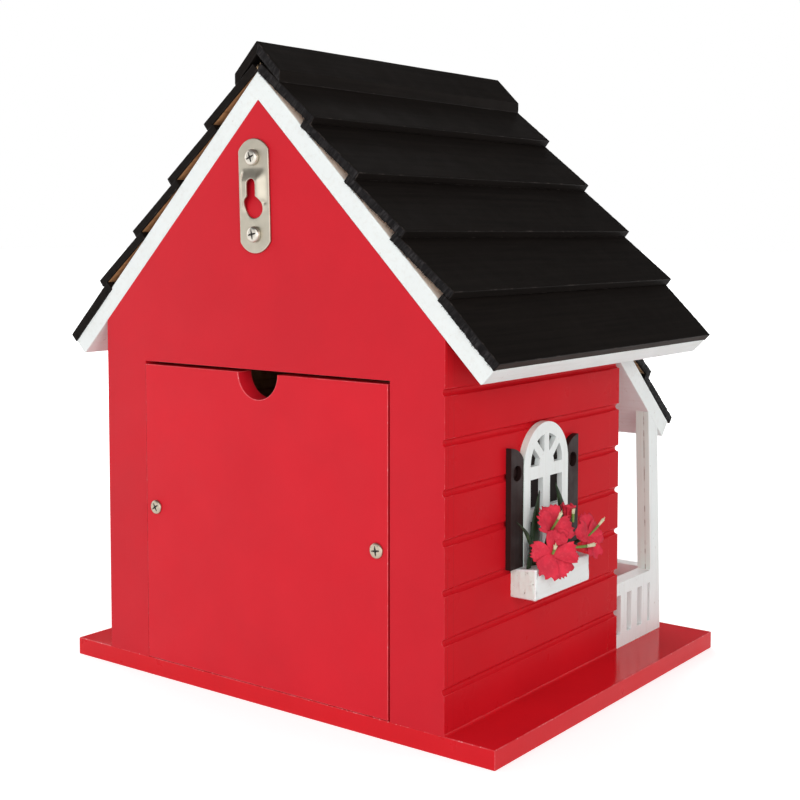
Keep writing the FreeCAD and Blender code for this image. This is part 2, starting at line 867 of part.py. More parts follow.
def under_porch_roof(y):
    """Height of the porch roof's underside above the deck at a given y."""
    return f"({size('porch_roof_height')} + ({y} - {FRONT}) * tan({PORCH}))"


def on_post_edge(foot, height):
    """A point of an edge of the post, which leaves the deck at y = foot and leans back."""
    return f"({foot} + {height} * {POST_SLOPE})", height


def post_top(foot):
    """Where that edge meets the porch roof."""
    height = f"({under_porch_roof(foot)} / (1 - {POST_SLOPE} * tan({PORCH})))"
    return on_post_edge(foot, height)


def make_porch_side_panel(name, side):
    """One sheet cut to both the side railing and the corner post."""
    body = new_body(f"porch_side_panel_{name}")
    inner = f"({HALF_HOUSE} - {size('porch_panel_thickness')})"
    move(body, signed(side, inner if side > 0 else HALF_HOUSE))
    sketch = new_sketch(body, "YZ_Plane", f"panel_outline_{name}")
    low = size("rail_slot_bottom")
    high = f"({low} + {size('rail_slot_height')})"
    notch = f"({FRONT} - {size('wall_slot_width')})"
    corners = [
        (PORCH_FRONT, "0"),
        (FRONT, "0"),
        (FRONT, low),
        (notch, low),
        (notch, high),
        (FRONT, high),
        (FRONT, size("rail_height")),
        on_post_edge(POST_REAR, size("rail_height")),
        post_top(POST_REAR),
        post_top(PORCH_FRONT),
    ]
    draw_outline(sketch, corners)
    pad(body, sketch, size("porch_panel_thickness"))
    slots = new_sketch(body, "YZ_Plane", f"panel_slots_{name}")
    for place in (1, 2, 3):
        width = size("rail_slot_width") if place < 3 else size("post_slot_width")
        near = f"({notch} - {place} * {size('rail_slot_pitch')} + {size('rail_slot_width')})"
        draw_rectangle(slots, f"({near} - {width})", low, near, high)
    pocket(body, slots)
    keep(body, f"porch_side_panel_{name}")


def make_porch_front_rail(name, side):
    label = f"porch_front_rail_{name}"
    body = new_body(label)
    back = f"({PORCH_FRONT} + {size('porch_panel_thickness')})"
    move(body, along_y=back)
    sketch = new_sketch(body, "XZ_Plane", f"{label}_outline")
    outer = f"({HALF_HOUSE} - {size('porch_panel_thickness')})"
    inner = f"({size('porch_gap_width')} / 2)"
    draw_rectangle(
        sketch, signed(side, inner), "0", signed(side, outer), size("rail_height")
    )
    pad(body, sketch, size("porch_panel_thickness"))
    low = size("rail_slot_bottom")
    high = f"({low} + {size('rail_slot_height')})"
    spread = f"({FRONT_RAIL_SLOTS - 1} * {size('rail_slot_pitch')})"
    first = f"(({outer} + {inner}) / 2 - {spread} / 2)"
    slots = new_sketch(body, "XZ_Plane", f"{label}_slots")
    for place in range(FRONT_RAIL_SLOTS):
        centre = f"({first} + {place} * {size('rail_slot_pitch')})"
        half = f"({size('rail_slot_width')} / 2)"
        near = signed(side, f"{centre} - {half}")
        far = signed(side, f"{centre} + {half}")
        draw_rectangle(slots, near, low, far, high)
    pocket(body, slots)
    keep(body, label)


# ------------------------------------------------------------------ side windows


def arched_outline(inset):
    """The window's outline around its own middle: y across, z up, with a half-round head."""
    half = f"({WINDOW_HALF} - {inset})"
    sill = f"({size('window_sill_height')} + {inset})"
    return [
        (f"({WINDOW_Y} - {half})", sill),
        (f"({WINDOW_Y} + {half})", sill),
        (f"({WINDOW_Y} + {half})", SPRING_HEIGHT, half, WINDOW_Y, SPRING_HEIGHT),
        (WINDOW_Y, f"({SPRING_HEIGHT} + {half})", half, WINDOW_Y, SPRING_HEIGHT),
        (f"({WINDOW_Y} - {half})", SPRING_HEIGHT),
    ]


def wall_body(label, side, thickness):
    """A body whose YZ plane is the lowest x of a piece lying flat on a side wall."""
    body = new_body(label)
    start = HALF_HOUSE if side > 0 else f"({HALF_HOUSE} + {thickness})"
    move(body, signed(side, start))
    return body


def make_window_backing(name, side):
    """The black sheet that fills the rebate behind the window frame."""
    label = f"window_backing_{name}"
    thickness = size("window_backing_thickness")
    body = wall_body(label, side, thickness)
    sketch = new_sketch(body, "YZ_Plane", f"{label}_outline")
    margin = f"({size('window_rebate_margin')} + {size('window_rebate_clearance')})"
    draw_outline(sketch, arched_outline(margin))
    pad(body, sketch, thickness)
    keep(body, label)


def make_window_frame(name, side):
    label = f"window_frame_{name}"
    thickness = size("window_frame_thickness")
    body = wall_body(label, side, thickness)
    sketch = new_sketch(body, "YZ_Plane", f"{label}_outline")
    draw_outline(sketch, arched_outline("0"))
    pad(body, sketch, thickness)

    panes = new_sketch(body, "YZ_Plane", f"{label}_panes")
    near = f"({size('mullion_width')} / 2)"
    far = f"({WINDOW_HALF} - {size('stile_width')})"
    low = f"({size('window_sill_height')} + {size('bottom_rail_height')})"
    for row in range(2):
        bottom = f"({low} + {row} * ({size('pane_height')} + {size('crossbar_height')}))"
        top = f"({bottom} + {size('pane_height')})"
        for column in (-1, 1):
            inner = f"({WINDOW_Y} + {column} * {near})"
            outer = f"({WINDOW_Y} + {column} * {far})"
            draw_rectangle(panes, inner, bottom, outer, top)
    pocket(body, panes)

    fan = new_sketch(body, "YZ_Plane", f"{label}_fan")
    for mirror in (-1, 1):
        for corners in fan_lites():
            placed = [place_fan_corner(corner, mirror) for corner in corners]
            draw_outline(fan, placed)
    pocket(body, fan)

    rebate_plane = thickness if side < 0 else "0"
    rebate = new_sketch(body, "YZ_Plane", f"{label}_rebate", rebate_plane)
    draw_outline(rebate, arched_outline(size("window_rebate_margin")))
    pocket(body, rebate, size("window_backing_thickness"), reverse=side > 0)
    keep(body, label)


def fan_lites():
    """The two lites on one side of the fan, around the middle of its spring line. Straight
    bars of one width stand upright and at half a right angle, and the hub fills the middle."""
    ring = f"({WINDOW_HALF} - {size('stile_width')})"
    hub = size("hub_radius")
    upright = f"({size('fan_bar_width')} / 2)"
    slant = f"({size('fan_bar_width')} / sqrt(2))"
    lower = [
        (hub, "0"),
        (ring, "0", ring, "0", "0"),
        beside_slanted_bar(ring, slant),
        beside_slanted_bar(hub, slant) + (hub, "0", "0"),
    ]
    upper = [
        beside_slanted_bar(hub, f"(-{slant})"),
        beside_slanted_bar(ring, f"(-{slant})") + (ring, "0", "0"),
        (upright, f"sqrt({ring} ^ 2 - {upright} ^ 2)"),
        (upright, f"sqrt({hub} ^ 2 - {upright} ^ 2)", hub, "0", "0"),
    ]
    return lower, upper


def beside_slanted_bar(radius, offset):
    """Where the edge y - z = offset of the slanted bar meets a circle about the fan's middle."""
    root = f"sqrt(2 * {radius} ^ 2 - {offset} ^ 2)"
    return f"(({root} + {offset}) / 2)", f"(({root} - {offset}) / 2)"


def place_fan_corner(corner, mirror):
    y = f"({WINDOW_Y} + {mirror} * ({corner[0]}))"
    z = f"({SPRING_HEIGHT} + {corner[1]})"
    if len(corner) == 2:
        return y, z
    return y, z, corner[2], WINDOW_Y, SPRING_HEIGHT


def make_shutter(name, side, place, towards):
    """A shutter beside the window; towards is 1 behind the window and -1 in front of it. Its
    head falls in a quarter round from the outer edge to the window."""
    label = f"shutter_{name}_{place}"
    thickness = size("shutter_thickness")
    body = wall_body(label, side, thickness)
    inner = f"({WINDOW_Y} + {towards} * {WINDOW_HALF})"
    outer = f"({inner} + {towards} * {size('shutter_width')})"
    low = size("window_sill_height")
    high = f"({low} + {size('shutter_height')})"
    drop = size("shutter_drop")
    radius = f"(({size('shutter_width')} ^ 2 + {drop} ^ 2) / (2 * {drop}))"
    sketch = new_sketch(body, "YZ_Plane", f"{label}_outline")
    corners = [
        (outer, low),
        (inner, low),
        (inner, f"({high} - {drop})", radius, outer, f"({high} - {radius})"),
        (outer, high),
    ]
    draw_outline(sketch, corners)
    pad(body, sketch, thickness)
    hole = new_sketch(body, "YZ_Plane", f"{label}_hole")
    middle = f"(({inner} + {outer}) / 2)"
    draw_circle(
        hole, middle, f"({low} + {size('shutter_hole_height')})", size("shutter_hole_radius")
    )
    pocket(body, hole)
    keep(body, label)


# ------------------------------------------------------------------ flower boxes


def make_flower_box(name, side):
    label = f"flower_box_{name}"
    body = new_body(label)
    move(body, along_y=f"({WINDOW_Y} + {size('box_shift')} + {size('box_length')} / 2)")
    near = HALF_HOUSE
    far = f"({HALF_HOUSE} + {size('box_depth')})"
    high = size("window_sill_height")
    low = f"({high} - {size('box_height')})"
    ease = size("box_edge_radius")
    sketch = new_sketch(body, "XZ_Plane", f"{label}_outline")
    bend = f"({far} - {ease})"
    corners = [
        (signed(side, near), high),
        (signed(side, near), low),
        (signed(side, bend), low, ease, signed(side, bend), f"({low} + {ease})"),
        (signed(side, far), f"({low} + {ease})"),
        (signed(side, far), high),
    ]
    draw_outline(sketch, corners)
    pad(body, sketch, size("box_length"))
    holes = new_sketch(body, "XY_Plane", f"{label}_stem_holes", high)
    for offset, *_ in FLOWERS:
        along = f"({offset} - {size('box_shift')} - {size('box_length')} / 2)"
        draw_circle(holes, signed(side, STEM_X), along, size("stem_hole_radius"))
    pocket(body, holes, size("stem_hole_depth"))
    keep(body, label)


def make_flowers(name, side):
    """Three blooms on wire stems that stand in the box's holes, as plain cups."""
    blooms = []
    for index, (offset, stem_height, tilt, radius) in enumerate(FLOWERS, start=1):
        x = signed(side, STEM_X)
        y = f"({WINDOW_Y} + {offset})"
        foot = f"({size('window_sill_height')} - {size('stem_hole_depth')})"
        head = f"({size('window_sill_height')} + {stem_height})"
        stem = primitive(
            "Cylinder",
            f"stem_{name}_{index}",
            Radius=size("stem_radius"),
            Height=f"{size('stem_hole_depth')} + {stem_height}",
        )
        put(stem, x, y, foot)
        knuckle = primitive("Sphere", f"knuckle_{name}_{index}", Radius=str(BLOOM_NECK_RADIUS))
        put(knuckle, x, y, head)
        cup = DOC.addObject("Part::Cone", f"cup_{name}_{index}")
        cup.Radius1 = BLOOM_NECK_RADIUS
        cup.Radius2 = radius
        cup.Height = BLOOM_HEIGHT
        put(cup, x, y, head, Vector(0, 1, 0), side * tilt)
        blooms.append(fuse(f"bloom_{name}_{index}", [stem, knuckle, cup]))
    group = DOC.addObject("Part::Compound", f"flowers_{name}")
    group.Links = blooms
    keep(group, f"flowers_{name}")


def make_leaves(name, side):
    """Upright leaf blades that stand on the box between the window and the blooms. Each is the
    lens shape between two equal arcs that run from its foot to its tip."""
    label = f"leaves_{name}"
    thickness = size("leaf_thickness")
    body = new_body(label)
    behind_stem = f"({BLOOM_NECK_RADIUS} + {size('leaf_clearance')} + {thickness} / 2)"
    move(body, signed(side, f"{STEM_X} - {behind_stem}"))
    sketch = new_sketch(body, "YZ_Plane", f"{label}_outline")
    for offset, lean, length, half_width in LEAVES:
        foot = Vector(offset, 0, 0)
        along = Vector(sin(radians(lean)), cos(radians(lean)), 0)
        across = Vector(along.y, -along.x, 0)
        radius = ((length / 2) ** 2 + half_width**2) / (2 * half_width)
        inward = radius - half_width
        heart = foot + along * (length / 2)
        edge_centres = (heart + across * inward, heart - across * inward)
        corners = []
        for corner, centre in zip((foot, foot + along * length), edge_centres):
            placed = from_sill(corner) + (str(radius),) + from_sill(centre)
            corners.append(placed)
        draw_outline(sketch, corners)
    pad(body, sketch, thickness, both_ways=True)
    keep(body, label)


def from_sill(point):
    """Expressions for a point given from the middle of the window's sill."""
    return f"({WINDOW_Y} + {point.x})", f"({size('window_sill_height')} + {point.y})"


# ------------------------------------------------------------------ front of the house


def make_entry_ring():
    body = new_body("entry_ring")
    move(body, along_y=FRONT)
    sketch = new_sketch(body, "XZ_Plane", "entry_ring_outline")
    inner = f"({size('entry_radius')} + {size('ring_reveal')})"
    draw_circle(sketch, "0", size("entry_height"), size("ring_radius"))
    draw_circle(sketch, "0", size("entry_height"), inner)
    pad(body, sketch, size("ring_thickness"))
    keep(body, "entry_ring")


def make_front_door():
    """A panelled door blank, glued to the front wall: it doesn't open."""
    body = new_body("front_door")
    move(body, along_y=FRONT)
    thickness = size("front_door_thickness")
    half = f"({size('front_door_width')} / 2)"
    sketch = new_sketch(body, "XZ_Plane", "front_door_outline")
    draw_rectangle(sketch, f"(-{half})", "0", half, size("front_door_height"))
    pad(body, sketch, thickness)
    panels = new_sketch(body, "XZ_Plane", "front_door_panels", thickness)
    rail = size("door_rail_height")
    stile = size("door_stile_width")
    middle = f"({size('front_door_height')} / 2)"
    for bottom, top in (
        (rail, f"({middle} - {rail} / 2)"),
        (f"({middle} + {rail} / 2)", f"({size('front_door_height')} - {rail})"),
    ):
        for side in (-1, 1):
            inner = signed(side, f"{stile} / 2")
            outer = signed(side, f"{half} - {stile}")
            draw_rectangle(panels, inner, bottom, outer, top)
    pocket(body, panels, size("door_panel_depth"))
    keep(body, "front_door")


def make_door_knob():
    face = f"({FRONT} - {size('front_door_thickness')})"
    x = f"({size('front_door_width')} / 2 - {size('knob_inset')} + {size('door_stile_width')} / 2)"
    reach = size("knob_neck_length")
    neck = primitive("Cylinder", "knob_neck", Radius=size("knob_neck_radius"), Height=reach)
    put(neck, x, face, size("knob_height"), Vector(1, 0, 0), 90)
    ball = primitive("Sphere", "knob_ball", Radius=size("knob_radius"))
    put(ball, x, f"({face} - {reach} - {size('knob_radius')} / 2)", size("knob_height"))
    keep(fuse("door_knob", [neck, ball]), "door_knob")


# ------------------------------------------------------------------ assembly


def build():
    make_base()
    make_back_wall()
    make_front_wall()
    make_door()
    make_hanger()
    make_hanger_screws()
    make_porch_roof()
    make_porch_courses()
    make_entry_ring()
    make_front_door()
    make_door_knob()
    for name, side in SIDES:
        make_side_wall(name, side)
        make_cleat(name, side)
        make_door_screw(name, side)
        make_roof_board(name, side)
        for course in range(COURSES):
            make_course(name, side, course)
        make_ridge_cap(name, side)
        make_porch_side_panel(name, side)
        make_porch_front_rail(name, side)
        make_window_backing(name, side)
        make_window_frame(name, side)
        make_shutter(name, side, "rear", 1)
        make_shutter(name, side, "front", -1)
        make_flower_box(name, side)
        make_flowers(name, side)
        make_leaves(name, side)
    DOC.recompute()


def check_and_export():
    for item in DOC.Objects:
        if "Invalid" in item.State or "Error" in item.State:
            raise RuntimeError(f"{item.Label} failed: {item.State}")
    for node in NODES:
        if node.Shape.isNull() or not node.Shape.isValid():
            raise RuntimeError(f"{node.Label} has no valid shape")
    os.makedirs("parts", exist_ok=True)
    for node in NODES:
        node.Shape.exportStep(f"parts/{node.Label}.step")
    print(f"{len(NODES)} sub-parts written")


build()
check_and_export()
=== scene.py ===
"""Looks of the cottage birdhouse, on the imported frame: eased and painted boards, rough shingle
ends, the pressed hanger plate and its screws, and the flowers. All sizes are in metres."""

import json
import random
from itertools import product
from math import acos, asin, cos, degrees, exp, hypot, pi, radians, sin

import bmesh
import bpy
from mathutils import Matrix, Vector, noise

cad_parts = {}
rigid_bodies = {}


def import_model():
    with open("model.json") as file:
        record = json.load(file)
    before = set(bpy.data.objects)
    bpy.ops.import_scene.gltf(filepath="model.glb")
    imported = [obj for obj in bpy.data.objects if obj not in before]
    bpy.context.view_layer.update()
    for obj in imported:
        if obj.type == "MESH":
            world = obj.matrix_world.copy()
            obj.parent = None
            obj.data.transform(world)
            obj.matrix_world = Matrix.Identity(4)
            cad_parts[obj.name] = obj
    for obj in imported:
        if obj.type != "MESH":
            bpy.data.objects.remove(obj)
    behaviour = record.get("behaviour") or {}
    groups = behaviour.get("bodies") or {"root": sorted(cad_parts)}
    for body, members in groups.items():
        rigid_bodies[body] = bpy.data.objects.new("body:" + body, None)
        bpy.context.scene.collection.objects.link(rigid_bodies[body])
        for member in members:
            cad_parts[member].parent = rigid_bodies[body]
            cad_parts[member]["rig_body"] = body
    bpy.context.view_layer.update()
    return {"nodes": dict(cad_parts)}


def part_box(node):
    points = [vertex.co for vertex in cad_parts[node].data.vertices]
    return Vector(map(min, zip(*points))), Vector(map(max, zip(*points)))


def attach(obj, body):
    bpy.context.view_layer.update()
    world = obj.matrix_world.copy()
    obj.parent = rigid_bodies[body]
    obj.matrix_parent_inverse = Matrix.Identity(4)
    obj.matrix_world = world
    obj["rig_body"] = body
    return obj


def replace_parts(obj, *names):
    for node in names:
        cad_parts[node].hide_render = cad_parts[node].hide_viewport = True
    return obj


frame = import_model()

MM = 0.001
# The walls' faces. Rear is +Y, and the side walls' outer faces lie at -WALL and WALL along X.
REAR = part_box("back_wall")[1].y
INNER_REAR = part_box("back_wall")[0].y
INNER_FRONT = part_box("front_wall")[1].y
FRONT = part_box("front_wall")[0].y
WALL = -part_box("side_wall_left")[0].x
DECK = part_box("base")[1].z
SIDES = (("left", -1), ("right", 1))


# --- colours


def linear(red, green, blue):
    """A colour written as 0-255 screen values, as the linear colour that a shader takes."""
    def channel(value):
        value /= 255
        return value / 12.92 if value <= 0.04045 else ((value + 0.055) / 1.055) ** 2.4
    return (channel(red), channel(green), channel(blue), 1)


def tint(colour, factor):
    """The same colour, darker or lighter."""
    return tuple(min(channel * factor, 1) for channel in colour[:3]) + (1,)


RED = linear(212, 26, 37)
COOL_RED = linear(212, 26, 42)
WHITE = linear(240, 245, 244)
# White tinted cool to cancel the pink light that the red walls throw on nearby white faces: painted
# light.
COUNTER_BOUNCE_WHITE = linear(231, 248, 241)
BLACK = linear(24, 20, 18)
SHUTTER_BLACK = linear(40, 24, 23)
PALE_WOOD = linear(230, 198, 160)
DARK_WOOD = linear(172, 120, 80)
WARM_WOOD = linear(218, 166, 118)
NICKEL = linear(188, 181, 166)
ZINC = linear(208, 203, 192)
WORN_ZINC = linear(188, 178, 160)
PETAL = linear(222, 46, 70)
LEAF = linear(34, 54, 31)
STEM = linear(122, 152, 72)
CREAM = linear(232, 226, 188)


# --- materials


class Nodes:
    """A node tree under construction."""

    def __init__(self, owner):
        owner.use_nodes = True
        self.nodes = owner.node_tree.nodes
        self.links = owner.node_tree.links

    def feed(self, socket, value):
        if isinstance(value, bpy.types.NodeSocket):
            self.links.new(value, socket)
        else:
            socket.default_value = value

    def node(self, kind, **inputs):
        node = self.nodes.new(kind)
        for name, value in inputs.items():
            self.feed(node.inputs[name.replace("_", " ")], value)
        return node

    def math(self, operation, first, second=0.0):
        node = self.node("ShaderNodeMath")
        node.operation = operation
        self.feed(node.inputs[0], first)
        self.feed(node.inputs[1], second)
        return node.outputs[0]

    def seen_by(self, first, *others):
        """1 for the named kinds of rays."""
        rays = self.node("ShaderNodeLightPath").outputs
        total = rays[first]
        for ray in others:
            total = self.math("MAXIMUM", total, rays[ray])
        return total


class Paint(Nodes):
    """A material under construction: a principled shader, and the chains that feed it."""

    def __init__(self, name, specular=0.5, **sockets):
        self.material = bpy.data.materials.new(name)
        super().__init__(self.material)
        self.shader = self.nodes["Principled BSDF"]
        for socket, value in dict(sockets, Specular_IOR_Level=specular).items():
            self.shader.inputs[socket.replace("_", " ")].default_value = value
        self.place = self.node("ShaderNodeTexCoord").outputs["Object"]
        self.relief = None

    def noise(self, scale, detail=3.0, roughness=0.5, distortion=0.0):
        """Noise; scale is one number of features a metre, or one for each of X, Y and Z."""
        place = self.place
        if isinstance(scale, tuple):
            place = self.node("ShaderNodeMapping", Vector=place, Scale=scale).outputs["Vector"]
            scale = 1.0
        shape = {"Detail": detail, "Roughness": roughness, "Distortion": distortion}
        return self.node("ShaderNodeTexNoise", Vector=place, Scale=scale, **shape).outputs["Fac"]

    def ramp(self, value, *stops):
        """A colour ramp; each stop is (position, colour or grey level)."""
        node = self.node("ShaderNodeValToRGB", Fac=value)
        elements = node.color_ramp.elements
        while len(elements) < len(stops):
            elements.new(0.5)
        for element, (position, colour) in zip(elements, stops):
            element.position = position
            element.color = colour if isinstance(colour, tuple) else (colour,) * 3 + (1,)
        return node.outputs["Color"]

    def patches(self, scale, low, high, detail=3.0, roughness=0.5):
        """Noise through a ramp with two stops."""
        return self.ramp(self.noise(scale, detail, roughness), low, high)

    def dust(self, scale, strength, reach):
        """Scattered dots, that strong in the middle and fading out over their reach."""
        spots = self.node("ShaderNodeTexVoronoi", Vector=self.place, Scale=scale)
        return self.ramp(spots.outputs["Distance"], (0.0, strength), (reach, 0.0))

    def along(self, axis):
        """The place along one axis, in metres."""
        return self.node("ShaderNodeSeparateXYZ", Vector=self.place).outputs[axis]

    def glue_line(self, axis, place):
        """1 on the planes at that distance either side of the middle, fading to 0."""
        offset = self.math("SUBTRACT", self.math("ABSOLUTE", self.along(axis)), place)
        share = self.math("DIVIDE", self.math("ABSOLUTE", offset), 0.28 * MM)
        return self.ramp(share, (0.4, 1.0), (1.0, 0.0))

    def colour(self, value):
        self.tone = value
        self.feed(self.shader.inputs["Base Color"], value)

    def over(self, share, colour):
        """Lays another colour over the colour so far, by a share from 0 to 1."""
        mix = self.node("ShaderNodeMix")
        mix.data_type = "RGBA"
        for index, value in ((0, share), (6, self.tone), (7, colour)):
            self.feed(mix.inputs[index], value)
        self.colour(mix.outputs[2])

    def rough(self, pattern, first, last, span=(0.3, 0.7)):
        """Roughness that goes from first to last over a span of the pattern."""
        value = self.ramp(pattern, (span[0], first), (span[1], last))
        self.feed(self.shader.inputs["Roughness"], value)

    def bump(self, height, depth):
        """Adds a layer of relief, that many millimetres deep, on top of the earlier ones."""
        node = self.node("ShaderNodeBump", Height=height, Distance=depth * MM, Strength=1.0)
        if self.relief is not None:
            self.links.new(self.relief, node.inputs["Normal"])
        self.relief = node.outputs["Normal"]
        self.links.new(self.relief, self.shader.inputs["Normal"])


def red_paint(name, tone, rough, specular=0.2, glue_lines=(), hue=RED):
    """Sprayed satin enamel on board: soft mottling, fine spray grain, dust nibs, and the grain
    of the board faintly raised under it. glue_lines are the plies' joints, as |y| places."""
    paint = Paint(name, specular)
    base = tint(hue, tone)
    paint.colour(paint.patches(30, (0.3, tint(base, 0.955)), (0.72, tint(base, 1.05)), 5, 0.55))
    speckle = paint.noise(2600, 2)
    paint.over(paint.ramp(speckle, (0.45, 0.0), (0.8, 0.14)), tint(base, 0.8))
    nib = paint.dust(95, 1.0, 0.035)
    paint.over(paint.math("MULTIPLY", nib, 0.25), tint(base, 1.3))
    for place in glue_lines:
        line = paint.math("MULTIPLY", paint.glue_line(1, place), paint.noise(60))
        paint.over(line, tint(base, 0.78))
        paint.bump(line, -0.05)
    paint.rough(paint.noise(75, 4), *rough)
    paint.bump(paint.noise((520, 520, 16), 4), 0.020)
    paint.bump(speckle, 0.012)
    paint.bump(nib, 0.04)
    return paint.material


def painted_edge_highlight_red(name, thick):
    """Red on the sanded edges, lightened in patches towards pink with near-white flecks: a painted
    highlight where the rounded edges catch the light; the smaller thick is, the more is lightened."""
    paint = Paint(name, 0.4)
    highlight_share = paint.patches(190, (thick, 0.0), (thick + 0.28, 0.8), 4, 0.6)
    fleck = paint.patches(900, (0.62, 0.0), (0.7, 0.5), 2)
    paint.colour(tint(RED, 1.02))
    # Painted highlight: pale pink patches and near-white flecks on the rounded edges.
    paint.over(highlight_share, linear(230, 98, 106))
    paint.over(fleck, linear(246, 190, 192))
    paint.rough(highlight_share, 0.28, 0.42, (0.0, 1.0))
    paint.bump(fleck, 0.02)
    return paint.material


def white_paint(name, grain, pits=0.0, glue_line=None, base=WHITE):
    """Brushed white enamel: strokes along the board, a little grime and rubbed tone. pits is
    how far open grain shows through, and glue_line is the |x| place of a ply joint."""
    paint = Paint(name, 0.35)
    paint.colour(paint.patches(55, (0.3, tint(base, 0.955)), (0.7, base), 5))
    strokes = paint.noise(grain, 4)
    paint.over(paint.ramp(strokes, (0.5, 0.0), (0.85, 0.35)), linear(216, 213, 206))
    paint.over(paint.patches(420, (0.66, 0.0), (0.74, 0.45)), linear(198, 190, 182))
    if pits:
        pores = paint.patches(900, (0.26, pits), (0.34, 0.0), 2)
        paint.over(pores, linear(116, 92, 80))
        cracks = paint.patches((700, 700, 150), (0.28, pits * 0.5), (0.37, 0.0), 2)
        paint.over(cracks, linear(206, 190, 178))
        paint.bump(pores, -0.30)
        paint.bump(cracks, -0.25)
    if glue_line:
        dashes = paint.patches((30, 30, 210), (0.46, 0.15), (0.56, 0.9))
        line = paint.math("MULTIPLY", paint.glue_line(0, glue_line), dashes)
        paint.over(line, linear(156, 146, 138))
        paint.bump(line, -0.10)
    paint.rough(paint.noise(160), 0.36, 0.52)
    paint.bump(strokes, 0.030)
    return paint.material


def black_paint(name, grain=(600, 18, 600), tone=1.0):
    """Thin satin black on sawn boards, whose grain runs along them."""
    paint = Paint(name, 0.045)
    strokes = paint.noise(grain, 5, 0.6)
    dark, light = tint(BLACK, 0.7 * tone), tint(BLACK, 1.35 * tone)
    paint.colour(paint.ramp(strokes, (0.3, dark), (0.75, light)))
    paint.over(paint.patches(70, (0.58, 0.0), (0.85, 0.3), 5), linear(32, 27, 25))
    paint.over(paint.dust(150, 0.5, 0.03), linear(78, 72, 68))
    paint.rough(paint.noise(90, 4), 0.54, 0.62)
    paint.bump(strokes, 0.05)
    return paint.material


def black_end(name):
    """The torn ends of the shingles: black that the fibres soaked up unevenly, in short strokes
    across the thickness of the sloping boards."""
    paint = Paint(name, 0.12)
    across, height = paint.math("ABSOLUTE", paint.along(0)), paint.along(2)
    down, out = paint.math("SUBTRACT", across, height), paint.math("ADD", across, height)
    slope = paint.node("ShaderNodeCombineXYZ", X=down, Y=paint.along(1), Z=out)
    paint.place = slope.outputs[0]
    strokes = paint.noise((880, 500, 170), 3, 0.6)
    paint.colour(paint.ramp(strokes, (0.46, linear(13, 11, 12)), (0.68, linear(50, 47, 48))))
    paint.over(paint.patches(150, (0.4, 0.75), (0.6, 0.0), 2), linear(17, 14, 15))
    paint.rough(strokes, 0.75, 0.5)
    paint.bump(strokes, 0.30)
    return paint.material


def edge_glint_black(name):
    """The corners of the shingles, grey in places: a painted highlight on their rounded edges."""
    paint = Paint(name, 0.1)
    glint_share = paint.patches(240, (0.54, 0.0), (0.8, 0.7), 4, 0.6)
    paint.colour(tint(BLACK, 0.9))
    paint.over(glint_share, linear(88, 80, 77))
    paint.rough(glint_share, 0.5, 0.7, (0.0, 1.0))
    paint.bump(paint.noise(1400, 2), 0.04)
    return paint.material


def raw_wood(name, grain=(420, 12, 420), overspray_and_painted_light=None, pale=PALE_WOOD):
    """Bare pine with its grain. The |y| range gives where white paint has dusted it; this whitening
    is also painted light for the shaded gaps under the shingles.
    """
    paint = Paint(name, 0.25)
    rings = paint.noise(grain, 5, 0.6, 0.4)
    paint.colour(paint.ramp(rings, (0.32, DARK_WOOD), (0.48, tint(pale, 0.85)), (0.7, pale)))
    paint.over(paint.patches(140, (0.45, 0.0), (0.75, 0.55), 4), tint(DARK_WOOD, 0.9))
    if overspray_and_painted_light:
        clean, dusted = overspray_and_painted_light
        reach = paint.math("SUBTRACT", paint.math("ABSOLUTE", paint.along(1)), clean)
        share = paint.math("DIVIDE", reach, dusted - clean)
        paint.over(paint.ramp(share, (0.0, 0.0), (1.0, 0.85)), linear(242, 230, 221))
    paint.rough(rings, 0.85, 0.65)
    paint.bump(rings, 0.15)
    return paint.material


def metal(name, colour, *rough):
    """Plated steel: hazy patches and the fine marks of rolling and tumbling."""
    paint = Paint(name, Metallic=1.0)
    paint.colour(paint.patches(260, (0.3, tint(colour, 0.86)), (0.7, colour), 5))
    paint.rough(paint.noise(520, 4), *rough)
    paint.bump(paint.noise((2600, 2600, 90), 3), 0.006)
    paint.bump(paint.noise(900, 2), 0.004)
    return paint.material


def flecked(name, specular, grain, stops, rough, depth, gloss=None, metallic=0.0):
    """A small part's skin: one noise gives its tone and relief, and the gloss too, unless
    there is a scale of noise for that."""
    paint = Paint(name, specular, Metallic=metallic)
    pattern = paint.noise(*grain)
    paint.colour(paint.ramp(pattern, *stops))
    paint.rough(paint.noise(gloss) if gloss else pattern, *rough)
    paint.bump(pattern, depth)
    return paint.material


def stamen_skin(name, colour):
    tones = ((0.3, tint(colour, 0.72)), (0.7, colour))
    return flecked(name, 0.3, (800, 3), tones, (0.5, 0.7), 0.05)


def veined(name, specular, grain, patches, vein, rough, depth):
    """Petals and leaves: a tone that wanders in soft patches, under fine raised veins."""
    paint = Paint(name, specular)
    veins = paint.noise(*grain)
    share, vein_colour = vein
    paint.colour(paint.patches(*patches, 4))
    paint.over(paint.ramp(veins, (0.5, 0.0), (0.8, share)), vein_colour)
    paint.rough(veins, *rough)
    paint.bump(veins, depth)
    return paint.material


# --- building helpers


def placed(name, data):
    """A new object in the scene."""
    thing = bpy.data.objects.new(name, data)
    bpy.context.scene.collection.objects.link(thing)
    return thing


def dress(mesh, materials):
    """Gives a mesh its materials; each face keeps the one that it has chosen."""
    chosen = [polygon.material_index for polygon in mesh.polygons]
    mesh.materials.clear()
    for material in materials:
        mesh.materials.append(material)
    mesh.polygons.foreach_set("material_index", chosen)


def add_piece(name, mesh, materials, carrier):
    """A finished mesh as a piece that rides on the body of a CAD node."""
    piece = placed(name, mesh)
    dress(mesh, materials)
    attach(piece, frame["nodes"][carrier]["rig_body"])
    return piece


def stand_in(node, ending, mesh, materials):
    """A finished mesh as the piece that stands for a CAD node."""
    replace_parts(add_piece(node + ending, mesh, materials, node), node)


